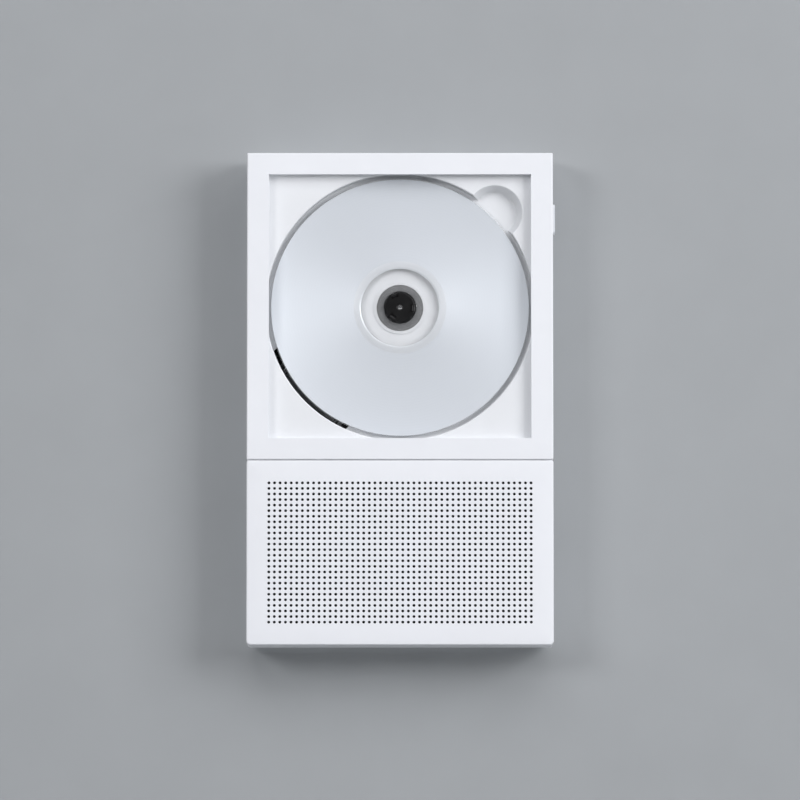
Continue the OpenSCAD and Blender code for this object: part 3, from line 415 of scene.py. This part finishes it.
@dataclass(frozen=True)
class Clear:
    """Clear polycarbonate or coated glass, thin enough to see straight through."""

    name: str
    colour: Colour
    opacity: float
    rough: float = 0.06
    coat: float = 1.0

    def make(self) -> bpy.types.Material:
        """Builds the material."""
        g = Graph(self.name)
        g.set(
            Base_Color=g.tinted(g.noise(9, 2), self.colour, 0.02),
            Alpha=self.opacity,
            Roughness=self.rough,
            Coat_Weight=self.coat,
            Coat_Roughness=0.03,
            Normal=g.relief(g.noise(6, 1), 0.004),
        )
        return g.material


Finish = Moulded | Hub | Metal | Rubber | Woven | Pulp | CircuitBoard | Silvered | Clear

WHITE = Moulded("white_shell", (0.83, 0.845, 0.875))
TRAY_WHITE = Moulded("white_tray", (0.79, 0.805, 0.825), rough=0.42)
KEY_WHITE = Moulded("white_keys", (0.82, 0.835, 0.865), rough=0.34, grain=0.25)
BACK_WHITE = Moulded("white_back", (0.78, 0.79, 0.81), rough=0.5, grain_depth=0.008)
HUB_GREY = Hub("hub_grey", (0.002, 0.002, 0.0022), (0.042, 0.043, 0.046))
HUB_BLACK = Moulded(
    "hub_black", (0.006, 0.006, 0.0065), rough=0.36, grain=0.2, wander=0.1, shine=0.35
)
SOCKET_BLACK = Moulded("socket_black", (0.014, 0.014, 0.015), rough=0.4, wander=0.1)
CHASSIS_BLACK = Moulded(
    "chassis_black", (0.008, 0.008, 0.009), rough=0.5, grain=0.3, wander=0.1, shine=0.35
)
GEAR_WHITE = Moulded("gear_acetal", (0.72, 0.70, 0.64), rough=0.3, grain=0.2, wander=0.03)
STEEL = Metal("bright_steel", (0.66, 0.67, 0.68), rough=0.24)
ROD_STEEL = Metal("ground_rods", (0.22, 0.225, 0.23), rough=0.24, lay=Grain.ALONG_X)
SCREW_STEEL = Metal("screw_zinc", (0.6, 0.6, 0.59), rough=0.3)
CAN_STEEL = Metal("motor_can", (0.58, 0.58, 0.57), rough=0.32, lay=Grain.ALONG_Y)
BASKET_STEEL = Metal("basket_steel", (0.32, 0.33, 0.34), rough=0.4)
SLED_METAL = Metal("sled_zinc", (0.5, 0.5, 0.5), rough=0.46, grain=0.5, grain_depth=0.01)
BRASS = Metal("pinion_brass", (0.72, 0.52, 0.22), rough=0.26)
SHAFT_STEEL = Metal("shaft_steel", (0.9, 0.9, 0.9), rough=0.12)
FERRITE = Moulded(
    "magnet_ferrite", (0.05, 0.05, 0.053), rough=0.55, grain=0.8, grain_depth=0.02, wander=0.2
)
DAMPER = Rubber("damper_rubber", (0.02, 0.02, 0.021))
PAD = Rubber("pad_rubber", (0.05, 0.051, 0.054), rough=0.5)
ROLL = Rubber("roll_rubber", (0.014, 0.014, 0.015), rough=0.48)
CLOTH = Woven("grille_weave", (0.006, 0.006, 0.0065))
CONE = Pulp("cone_paper", (0.03, 0.031, 0.034))
CAP = Pulp("cap_paper", (0.017, 0.017, 0.019))
BOARD = CircuitBoard("board_green", (0.012, 0.085, 0.045), (0.03, 0.15, 0.07))
FILM = Metal("cell_foil", (0.62, 0.63, 0.64), rough=0.34, grain=0.9, grain_depth=0.02)
LENS = Clear("lens_glass", (0.32, 0.36, 0.62), opacity=0.75)
DISC_CLEAR = Clear("disc_clear", (0.9, 0.92, 0.93), opacity=0.12, coat=0.7)
DISC_DATA = Silvered("disc_data", (0.725, 0.76, 0.80), rough=0.58, turned=0.6)
DISC_MIRROR = Silvered("disc_mirror", (0.82, 0.85, 0.88), rough=0.4, turned=0.5)


class Finishes:
    """Makes each finish once and hands it out."""

    def __init__(self) -> None:
        """Starts with no material made."""
        self.made: dict[str, bpy.types.Material] = {}

    def of(self, finish: Finish) -> bpy.types.Material:
        """The material of a finish."""
        if finish.name not in self.made:
            self.made[finish.name] = finish.make()
        return self.made[finish.name]

    def dress(self, finish: Finish, *nodes: str) -> None:
        """Gives CAD nodes a finish in all their material slots."""
        for name in nodes:
            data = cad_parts[name].data
            data.materials.clear()
            data.materials.append(self.of(finish))


FINISHES = Finishes()


# ------------------------------------------------------------------ meshes


def spot(x: float, depth: float, z: float) -> Vector:
    """A point in millimetres by its place across, its depth and its height."""
    return Vector((x, depth - BODY_DEPTH, z))


def upright(place: Vector) -> Matrix:
    """Stands what lies flat up against the wall, round a point."""
    return Matrix.Translation(place) @ Matrix.Rotation(math.pi / 2, 4, "X")


def verts_of(geom: Iterable[object]) -> list[bmesh.types.BMVert]:
    """The vertices in what an operator gives back."""
    return [item for item in geom if isinstance(item, bmesh.types.BMVert)]


def at_depth(edge: bmesh.types.BMEdge, y: float) -> bool:
    """Whether an edge lies in the upright plane at y, in millimetres."""
    return all(abs(vert.co.y - y) < SAME_LEVEL for vert in edge.verts)


def data_of(bm: bmesh.types.BMesh, name: str) -> bpy.types.Mesh:
    """Turns a finished mesh into the mesh data `name`, and frees it."""
    data = bpy.data.meshes.new(name)
    bm.to_mesh(data)
    bm.free()
    return data


def linked(name: str, data: bpy.types.ID) -> bpy.types.Object:
    """Makes an object of its data and puts it in the scene."""
    made = bpy.data.objects.new(name, data)
    bpy.context.scene.collection.objects.link(made)
    return made


def rectangle(
    bm: bmesh.types.BMesh, size: tuple[float, float], parts: tuple[int, int], middle: Vector
) -> list[bmesh.types.BMVert]:
    """Adds an upright rectangle of grid faces.

    Args:
        bm: the mesh that takes the rectangle.
        size: its width and height in millimetres.
        parts: how many faces lie across and up.
        middle: its middle in millimetres.

    Returns:
        Its vertices.
    """
    made = bmesh.ops.create_grid(bm, x_segments=parts[0], y_segments=parts[1], size=0.5)["verts"]
    bmesh.ops.transform(bm, verts=made, matrix=upright(middle) @ Matrix.Diagonal((*size, 1, 1)))
    return made


def lathe(
    bm: bmesh.types.BMesh,
    profile: Iterable[tuple[float, float]],
    x: float,
    z: float,
    steps: int,
    closed: bool = True,
) -> None:
    """Turns a profile of radius and depth about a line into the wall.

    Args:
        bm: the mesh that takes the turned shape.
        profile: points of radius and depth in millimetres.
        x: the line's place across.
        z: the line's height.
        steps: how many faces go round.
        closed: whether the profile's last point joins its first.
    """
    verts = [bm.verts.new(spot(x + r, d, z)) for r, d in profile]
    edges = [bm.edges.new(pair) for pair in zip(verts, verts[1:])]
    if closed:
        edges.append(bm.edges.new((verts[-1], verts[0])))
    bmesh.ops.spin(
        bm,
        geom=verts + edges,
        cent=spot(x, 0, z),
        axis=(0, 1, 0),
        angle=math.tau,
        steps=steps,
        use_merge=True,
    )


def piece(
    bm: bmesh.types.BMesh,
    name: str,
    finishes: list[Finish],
    body: Body,
    stands_for: tuple[str, ...] = (),
    choose: Callable[[Vector], int] | None = None,
    crease: float = 38.0,
    ride: bool = True,
) -> bpy.types.Object:
    """Turns a mesh in millimetres into a piece of the scene.

    Args:
        bm: the finished mesh, which is freed.
        name: the piece's name.
        finishes: its finishes, by material index.
        body: the body that it rides on.
        stands_for: CAD nodes that it replaces.
        choose: gives a face's material index from its middle, in millimetres.
        crease: the angle in degrees past which an edge stays sharp.
        ride: whether it rides on its body here, or has its place baked in by its maker.

    Returns:
        The new object.
    """
    bmesh.ops.remove_doubles(bm, verts=bm.verts, dist=0.0005)
    bmesh.ops.recalc_face_normals(bm, faces=bm.faces)
    for face in bm.faces:
        face.smooth = True
        if choose:
            face.material_index = choose(face.calc_center_median())
    for edge in bm.edges:
        edge.smooth = len(edge.link_faces) == 2 and edge.calc_face_angle(0) < math.radians(crease)
    bmesh.ops.scale(bm, vec=(MM, MM, MM), verts=bm.verts)
    data = data_of(bm, name)
    for finish in finishes:
        data.materials.append(FINISHES.of(finish))
    made = linked(name, data)
    if ride:
        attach(made, body.value)
    if stands_for:
        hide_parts(*stands_for)
    LOG.info("%s: %d faces", name, len(data.polygons))
    return made


# ------------------------------------------------------------ sub-assemblies


@dataclass
class Disc:
    """The compact disc: a clear moulding with a silver layer and a mirror band."""

    radius: float = 60.0
    hole: float = 7.5
    front: float = 6.8
    back: float = 8.0
    ring: float = 18.5
    mirror: float = 21.6
    silver: float = 59.4
    groove: float = 0.16
    step: float = 0.02
    mould_line: tuple[float, float, float] = (10.6, 10.75, 10.9)
    stack_ring: tuple[float, float, float, float] = (17.6, 17.4, 16.8, 16.6)
    soft: float = 0.25
    softer: float = 0.08

    def profile(self) -> list[tuple[float, float]]:
        """The section, from the hole along the front to the rim and back."""
        f, b, r, g = self.front, self.back, self.ring, self.groove
        wide, fine = self.soft, self.softer
        line_in, line, line_out = self.mould_line
        foot_out, top_out, top_in, foot_in = self.stack_ring
        return [
            (self.hole, f + wide),
            (self.hole + fine, f + fine),
            (self.hole + wide, f),
            (line_in, f),
            (line, f + 0.05),
            (line_out, f),
            (r - 0.75, f),
            (r - 0.5, f + g),
            (r - 0.2, f + g),
            (r + 0.05, f),
            (self.mirror - 0.15, f),
            (self.mirror, f + self.step),
            (self.silver, f + self.step),
            (self.silver + 0.1, f),
            (self.radius - wide, f),
            (self.radius - fine, f + fine),
            (self.radius, f + wide),
            (self.radius, b - wide),
            (self.radius - fine, b - fine),
            (self.radius - wide, b),
            (foot_out, b),
            (top_out, b + 0.2),
            (top_in, b + 0.2),
            (foot_in, b),
            (self.hole + wide, b),
            (self.hole + fine, b - fine),
            (self.hole, b - wide),
        ]

    def finish_at(self, middle: Vector) -> int:
        """Clear inside the ring and at the rim, mirror, then data, seen from the front."""
        radius, depth = math.hypot(middle.x, middle.z), middle.y + BODY_DEPTH
        if depth > self.front + 0.3 or radius < self.ring - 0.6 or radius > self.silver + 0.05:
            return 0
        return 1 if radius < self.mirror - 0.1 else 2

    def build(self) -> None:
        """Makes the disc, on the disc's own body."""
        bm = bmesh.new()
        lathe(bm, self.profile(), 0, 0, 192)
        piece(
            bm,
            "disc_platter",
            [DISC_CLEAR, DISC_MIRROR, DISC_DATA],
            Body.DISC,
            ("disc",),
            choose=self.finish_at,
            crease=25,
        )


@dataclass
class SpeakerFront:
    """The speaker unit's moulded front with its fine grid of round holes."""

    width: float = 141.2
    height: float = 85.0
    middle: float = -113.9
    depth: float = 4.1
    skin: float = 2.0
    edge: float = 0.6
    top_corner: float = 1.0
    foot_corner: float = 1.9
    columns: int = 48
    rows: int = 26
    pitch: float = 2.565
    hole: float = 1.36
    sides: int = 16
    plate_area: float = 5000.0

    def cell(self, bm: bmesh.types.BMesh) -> None:
        """One square of the grid with its hole, in the field's first corner."""
        half = self.pitch / 2
        ring = bmesh.ops.create_circle(
            bm, segments=self.sides, radius=self.hole / 2, matrix=upright(self.corner())
        )["verts"]
        edges = list({e for v in ring for e in v.link_edges})
        self.spread_out(bm, edges, half)
        wall = bmesh.ops.extrude_edge_only(bm, edges=edges)["geom"]
        deep = verts_of(wall)
        bmesh.ops.translate(bm, verts=deep, vec=(0, self.skin, 0))
        made = [e for e in wall if isinstance(e, bmesh.types.BMEdge)]
        self.spread_out(bm, [e for e in made if all(v in deep for v in e.verts)], half)

    def corner(self) -> Vector:
        """The middle of the field's first hole."""
        return spot(
            -(self.columns - 1) / 2 * self.pitch,
            0,
            self.middle - (self.rows - 1) / 2 * self.pitch,
        )

    def spread_out(self, bm: bmesh.types.BMesh, edges: list[bmesh.types.BMEdge], half: float) -> None:
        """Extrudes a ring of edges outwards onto the square round the first hole."""
        middle = self.corner()
        grown = bmesh.ops.extrude_edge_only(bm, edges=edges)["geom"]
        for vert in verts_of(grown):
            x, z = vert.co.x - middle.x, vert.co.z - middle.z
            by = half / max(abs(x), abs(z))
            vert.co.x, vert.co.z = middle.x + x * by, middle.z + z * by

    def repeat(self, bm: bmesh.types.BMesh, count: int, step: Vector) -> None:
        """Repeats all that is in the mesh in a row, by doubling."""
        base = bm.verts[:] + bm.edges[:] + bm.faces[:]
        whole, done = list(base), 1
        while done < count:
            take = whole if done * 2 <= count else base
            copy = bmesh.ops.duplicate(bm, geom=take)["geom"]
            bmesh.ops.translate(bm, verts=verts_of(copy), vec=step * done)
            if take is base:
                done += 1
            else:
                whole += copy
                done *= 2

    def shell(self, bm: bmesh.types.BMesh) -> None:
        """The moulding round the field, open at front and back where the field goes."""
        rectangle(bm, (self.width, self.height), (1, 1), spot(0, 0, self.middle))
        for radius, top in ((self.top_corner, True), (self.foot_corner, False)):
            corners = [v for v in bm.verts if (v.co.z > self.middle) == top]
            bmesh.ops.bevel(
                bm, geom=corners, offset=radius, affect="VERTICES", segments=6, profile=0.5, material=-1
            )
        plate = bm.faces[:]
        deep = bmesh.ops.extrude_face_region(bm, geom=plate)["geom"]
        bmesh.ops.translate(bm, verts=verts_of(deep), vec=(0, self.depth, 0))
        face_y = -BODY_DEPTH
        rim = [e for e in bm.edges if at_depth(e, face_y)]
        bmesh.ops.bevel(
            bm, geom=rim, offset=self.edge, affect="EDGES", segments=5, profile=0.5, material=-1
        )
        behind = [f for f in bm.faces if f.calc_center_median().y > face_y + self.depth - SAME_LEVEL]
        back = max(behind, key=lambda f: f.calc_area())
        bmesh.ops.inset_individual(bm, faces=[back], thickness=self.skin)
        pocket = bmesh.ops.extrude_face_region(bm, geom=[back])["geom"]
        bmesh.ops.translate(bm, verts=verts_of(pocket), vec=(0, self.skin - self.depth, 0))
        plates = [f for f in bm.faces if f.calc_area() > self.plate_area]
        bmesh.ops.delete(bm, geom=plates, context="FACES_ONLY")

    def build(self) -> None:
        """Makes the front and puts the shell round the field of holes."""
        bm = bmesh.new()
        self.cell(bm)
        self.repeat(bm, self.columns, Vector((self.pitch, 0, 0)))
        self.repeat(bm, self.rows, Vector((0, 0, self.pitch)))
        bmesh.ops.remove_doubles(bm, verts=bm.verts, dist=0.001)
        around = bmesh.new()
        self.shell(around)
        spare = data_of(around, "speaker_front_shell")
        bm.from_mesh(spare)
        bpy.data.meshes.remove(spare)
        for level in (0, self.skin):
            open_edges = [e for e in bm.edges if not e.is_wire and e.is_boundary]
            rims = [e for e in open_edges if at_depth(e, level - BODY_DEPTH)]
            bmesh.ops.triangle_fill(bm, edges=rims, use_beauty=True)
        stands_for = ("speaker_front",)
        piece(bm, "speaker_front_panel", [WHITE], Body.CASE, stands_for, crease=30)


@dataclass
class GrilleCloth:
    """The black acoustic cloth stretched behind the holes."""

    width: float = 125.52
    height: float = 69.09
    middle: float = -113.9
    depth: float = 2.2
    thickness: float = 0.3
    parts: tuple[int, int] = (96, 54)
    wave: float = 0.03
    wave_across: float = 0.31
    wave_up: float = 0.27

    def build(self) -> None:
        """Makes the cloth as a thin stretched sheet."""
        bm = bmesh.new()
        middle = spot(0, self.depth, self.middle)
        for vert in rectangle(bm, (self.width, self.height), self.parts, middle):
            across, up = vert.co.x * self.wave_across, vert.co.z * self.wave_up
            vert.co.y += self.wave * math.sin(across) * math.cos(up)
        cloth = piece(bm, "grille_cloth_sheet", [CLOTH], Body.CASE, ("grille_cloth",))
        thick = cloth.modifiers.new("thickness", "SOLIDIFY")
        thick.thickness = self.thickness * MM
        thick.offset = 0.0


@dataclass
class Driver:
    """One driver's soft parts: ribbed cone, dust cap and half-roll surround."""

    side: str
    x: float
    body: Body
    middle: float = -113.9
    cone_radius: float = 20.5
    cone_front: float = 7.6
    cone_height: float = 5.6
    neck: float = 7.15
    roll: float = 1.6
    roll_middle: float = 22.2
    outer: float = 24.2
    skin: float = 0.35
    lip: float = 1.1
    foot: float = 1.0
    foot_depth: float = 1.2
    rib: float = 0.09
    rib_steps: int = 24
    former: float = 5.0
    former_wall: float = 0.3
    lap: float = 0.9
    steps: int = 72

    def cone(self) -> None:
        """The paper cone with shallow pressed ribs, and the coil former behind it."""
        back = self.cone_front + self.cone_height
        slope = []
        across = self.neck + self.foot - self.cone_radius + self.lip
        inwards = back - self.foot_depth - self.cone_front - self.skin
        for k in range(self.rib_steps + 1):
            r = self.cone_radius - self.lip + across * k / self.rib_steps
            d = self.cone_front + self.skin + inwards * k / self.rib_steps
            slope.append((r, d + self.rib * math.cos(k * math.pi / 2)))
        front = [(r - 0.25, d - self.skin) for r, d in reversed(slope)]
        profile = [
            (self.cone_radius, self.cone_front),
            (self.cone_radius, self.cone_front + self.skin),
            *slope,
            (self.neck, back),
            (self.neck, back + self.former),
            (self.neck - self.former_wall, back + self.former),
            (self.neck - self.former_wall, back - 0.4),
            *front,
        ]
        bm = bmesh.new()
        lathe(bm, profile, self.x, self.middle, self.steps)
        name = f"{self.side}_cone"
        piece(bm, f"{name}_paper", [CONE], self.body, (name,))

    def dust_cap(self) -> None:
        """The domed cap over the coil, open at the back."""
        back = self.cone_front + self.cone_height
        share = [k / 10 for k in range(1, 11)]
        front = [(self.neck * s, back - 3.6 + 2.1 * s * s) for s in share]
        rear = [((self.neck - 0.2) * s, back - 3.3 + 2.1 * s * s) for s in reversed(share)]
        bm = bmesh.new()
        profile = [(0, back - 3.6), *front, *rear, (0, back - 3.3)]
        lathe(bm, profile, self.x, self.middle, 48, closed=False)
        name = f"{self.side}_dust_cap"
        piece(bm, f"{name}_dome", [CAP], self.body, (name,))

    def arch(self, radius: float, first: float, last: float) -> list[tuple[float, float]]:
        """Points on the roll's arch from one angle to another, in degrees."""
        flat = self.cone_front - self.skin + (0 if radius == self.roll else self.skin)
        turns = [math.radians(first + (last - first) * k / 8) for k in range(9)]
        return [(self.roll_middle + radius * math.cos(t), flat - radius * math.sin(t)) for t in turns]

    def surround(self) -> None:
        """The half roll: its outer half stays with the basket and its inner half is baked in place on
        no body.
        """
        flat = self.cone_front - self.skin
        inside = self.roll - self.skin
        outer = [
            *self.arch(self.roll, 90, 0),
            (self.outer, flat),
            (self.outer, flat + self.skin),
            *self.arch(inside, 0, 90),
        ]
        inner = [
            *self.arch(self.roll, 90, 180),
            (self.cone_radius - self.lap, flat),
            (self.cone_radius - self.lap, flat + self.skin),
            *self.arch(inside, 180, 90),
        ]
        node = f"{self.side}_surround"
        for name, profile in ((f"{node}_outer", outer), (f"{node}_inner", inner)):
            bm = bmesh.new()
            lathe(bm, profile, self.x, self.middle, self.steps)
            made = piece(bm, name, [ROLL], Body.CASE, (node,), ride=profile is outer)
            if profile is inner:
                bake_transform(made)

    def build(self) -> None:
        """Makes the three parts."""
        self.cone()
        self.dust_cap()
        self.surround()


@dataclass
class Dampers:
    """The four rubber bushes that the mechanism stands on."""

    places: tuple[tuple[float, float], ...] = ((-15, -21.5), (-15, 20), (48, 27), (50, -31.5))
    feed_angle: float = 225.0
    bore: float = 1.25
    radius: float = 3.6
    neck: float = 2.6
    front: float = 14.6
    plate: float = 15.4
    plate_back: float = 16.8
    back: float = 17.6
    soft: float = 0.2

    def build(self) -> None:
        """Makes the bushes as one piece with rounded flanges."""
        bm = bmesh.new()
        turn = math.radians(self.feed_angle)
        for along, across in self.places:
            x = along * math.cos(turn) - across * math.sin(turn)
            z = along * math.sin(turn) + across * math.cos(turn)
            profile = [
                (self.bore, self.front),
                (self.radius - self.soft, self.front),
                (self.radius, self.front + self.soft),
                (self.radius, self.plate),
                (self.neck, self.plate),
                (self.neck, self.plate_back),
                (self.radius, self.plate_back),
                (self.radius, self.back - self.soft),
                (self.radius - self.soft, self.back),
                (self.bore, self.back),
            ]
            lathe(bm, profile, x, z, 40)
        piece(bm, "damper_rubbers", [DAMPER], Body.CASE, ("damper_bushes",))


@dataclass
class Casework:
    """The white housings with their backs, and the parts that fasten them."""

    def build(self) -> None:
        """Dresses the CAD nodes of the housings."""
        FINISHES.dress(WHITE, "front_frame", "player_shell", "speaker_shell")
        FINISHES.dress(TRAY_WHITE, "disc_tray")
        FINISHES.dress(BACK_WHITE, "player_back", "speaker_back")
        FINISHES.dress(SCREW_STEEL, "frame_screws", "player_screws", "speaker_screws", "join_screws")
        FINISHES.dress(STEEL, "join_plate")


@dataclass
class Mechanism:
    """The hub, the motors and the pickup with its drive."""

    def build(self) -> None:
        """Dresses the CAD nodes of the mechanism."""
        FINISHES.dress(HUB_GREY, "turntable")
        FINISHES.dress(PAD, "turntable_pad")
        FINISHES.dress(HUB_BLACK, "hub_claws", "lens_cover")
        FINISHES.dress(SHAFT_STEEL, "motor_shaft")
        FINISHES.dress(CAN_STEEL, "spindle_motor", "feed_motor")
        FINISHES.dress(CHASSIS_BLACK, "mechanism_chassis", "lens_holder")
        FINISHES.dress(SCREW_STEEL, "damper_screws")
        FINISHES.dress(ROD_STEEL, "guide_rods")
        FINISHES.dress(SLED_METAL, "pickup_sled")
        FINISHES.dress(GEAR_WHITE, "sled_rack", "feed_gear")
        FINISHES.dress(BRASS, "motor_pinion")
        FINISHES.dress(LENS, "objective_lens")


@dataclass
class Electronics:
    """The boards, the sockets, the cell and the switches."""

    def build(self) -> None:
        """Dresses the CAD nodes of the electronics."""
        FINISHES.dress(BOARD, "main_board", "amplifier_board", "key_switches", "rocker_switches")
        FINISHES.dress(SCREW_STEEL, "board_screws", "driver_screws")
        FINISHES.dress(STEEL, "charge_socket")
        FINISHES.dress(SOCKET_BLACK, "headphone_jack", "speaker_link")
        FINISHES.dress(FILM, "battery")


@dataclass
class Controls:
    """The volume rocker on the side and the three keys in the top."""

    def build(self) -> None:
        """Dresses the CAD nodes of the controls."""
        FINISHES.dress(KEY_WHITE, "volume_rocker", "play_key", "previous_key", "next_key")


@dataclass
class SpeakerUnit:
    """The speaker unit's front, cloth and two drivers."""

    drivers: list[Driver] = field(
        default_factory=lambda: [
            Driver("left", -36.0, Body.LEFT_CONE),
            Driver("right", 36.0, Body.RIGHT_CONE),
        ]
    )

    def build(self) -> None:
        """Makes the new pieces and dresses the baskets and magnets."""
        SpeakerFront().build()
        GrilleCloth().build()
        for driver in self.drivers:
            driver.build()
        FINISHES.dress(CHASSIS_BLACK, "driver_baffle")
        FINISHES.dress(BASKET_STEEL, "driver_baskets")
        FINISHES.dress(FERRITE, "driver_magnets")


# -------------------------------------------------------------------- stage


@dataclass(frozen=True)
class Softbox:
    """One soft rectangular light: its place, width and height in metres, power and tint."""

    name: str
    place: tuple[float, float, float]
    size: tuple[float, float]
    watts: float
    colour: Colour = (1.0, 1.0, 1.0)


@dataclass
class Studio:
    """The camera at the photograph's angle, soft lights, a grey wall and a pale floor."""

    distance: float = 3.0
    pitch: float = 5.35
    focal: float = 293.2
    aim: tuple[float, float, float] = (0.0, -0.028, -0.0436)
    wall_colour: Colour = (0.36, 0.375, 0.385)
    floor_colour: Colour = (0.4, 0.405, 0.41)
    world_colour: Colour = (0.93, 0.96, 1.0)
    world_strength: float = 0.08
    sensor: float = 36.0
    wall_gap: float = 0.0006
    wall_size: float = 6.0
    floor_size: float = 8.0
    floor_height: float = -0.9
    lamps: tuple[Softbox, ...] = (
        Softbox("front_top", (0.45, -2.25, 2.35), (3.9, 1.8), 58, (0.97, 0.97, 1.0)),
        Softbox("right_window", (1.95, -1.65, 0.6), (1.4, 1.2), 42, (0.98, 0.98, 1.0)),
        Softbox("left_strip", (-1.6, -2.1, 0.65), (0.9, 0.7), 20, (0.98, 0.98, 1.0)),
        Softbox("rear", (-0.4, 2.4, 0.35), (1.6, 1.2), 42),
    )

    def camera(self) -> None:
        """Looks slightly up at the middle of the object."""
        data = bpy.data.cameras.new("camera")
        data.lens, data.sensor_width = self.focal, self.sensor
        data.clip_start, data.clip_end = 0.1, 30.0
        camera = linked("camera", data)
        tilt = math.radians(self.pitch)
        away = Vector((0, -math.cos(tilt), -math.sin(tilt)))
        camera.location = Vector(self.aim) + away * self.distance
        camera.rotation_mode = "QUATERNION"
        camera.rotation_quaternion = (-away).to_track_quat("-Z", "Y")
        bpy.context.scene.camera = camera

    def light(self, lamp: Softbox) -> None:
        """A soft rectangular light that faces the object."""
        data = bpy.data.lights.new(lamp.name, "AREA")
        data.shape, data.size, data.size_y = "RECTANGLE", *lamp.size
        data.energy, data.color = lamp.watts, lamp.colour
        light = linked(lamp.name, data)
        light.location = lamp.place
        towards = Vector(self.aim) - Vector(lamp.place)
        light.rotation_euler = towards.to_track_quat("-Z", "Y").to_euler()

    def backdrop(self, name: str, colour: Colour, size: float, place: Matrix) -> None:
        """A plane that shows only its front, so views from behind it stay clear."""
        graph = Graph(name)
        mottle = graph.noise(40, 3)
        paint = graph.tinted(mottle, colour, 0.015)
        graph.set(Base_Color=paint, Roughness=0.85, Specular_IOR_Level=0.2)
        behind = graph.node("ShaderNodeNewGeometry").outputs["Backfacing"]
        clear = graph.node("ShaderNodeBsdfTransparent").outputs[0]
        mix = graph.node("ShaderNodeMixShader", {0: behind, 1: graph.shader.outputs[0], 2: clear})
        graph.tree.links.new(mix.outputs[0], graph.tree.nodes["Material Output"].inputs[0])
        bm = bmesh.new()
        bmesh.ops.create_grid(bm, x_segments=1, y_segments=1, size=size / 2, matrix=place)
        data = data_of(bm, name)
        data.materials.append(graph.material)
        plane = linked(name, data)
        plane.visible_shadow = False

    def build(self) -> None:
        """Sets up the camera, world, lights and backdrops."""
        scene = bpy.context.scene
        scene.view_settings.view_transform = "Standard"
        world = bpy.data.worlds.new("studio")
        world.use_nodes = True
        background = world.node_tree.nodes["Background"]
        background.inputs[0].default_value = (*self.world_colour, 1)
        background.inputs[1].default_value = self.world_strength
        scene.world = world
        self.camera()
        for lamp in self.lamps:
            self.light(lamp)
        ground = Matrix.Translation((0, 0, self.floor_height))
        self.backdrop("wall", self.wall_colour, self.wall_size, upright(Vector((0, self.wall_gap, 0))))
        self.backdrop("floor", self.floor_colour, self.floor_size, ground)


def main() -> None:
    """Builds the scene in order."""
    logging.basicConfig(level=logging.INFO, format="%(message)s")
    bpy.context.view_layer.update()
    parts = (
        Studio(),
        Casework(),
        Disc(),
        Mechanism(),
        Dampers(),
        Controls(),
        Electronics(),
        SpeakerUnit(),
    )
    for part in parts:
        part.build()
        LOG.info("%s done", type(part).__name__)


if __name__ == "__main__":
    main()
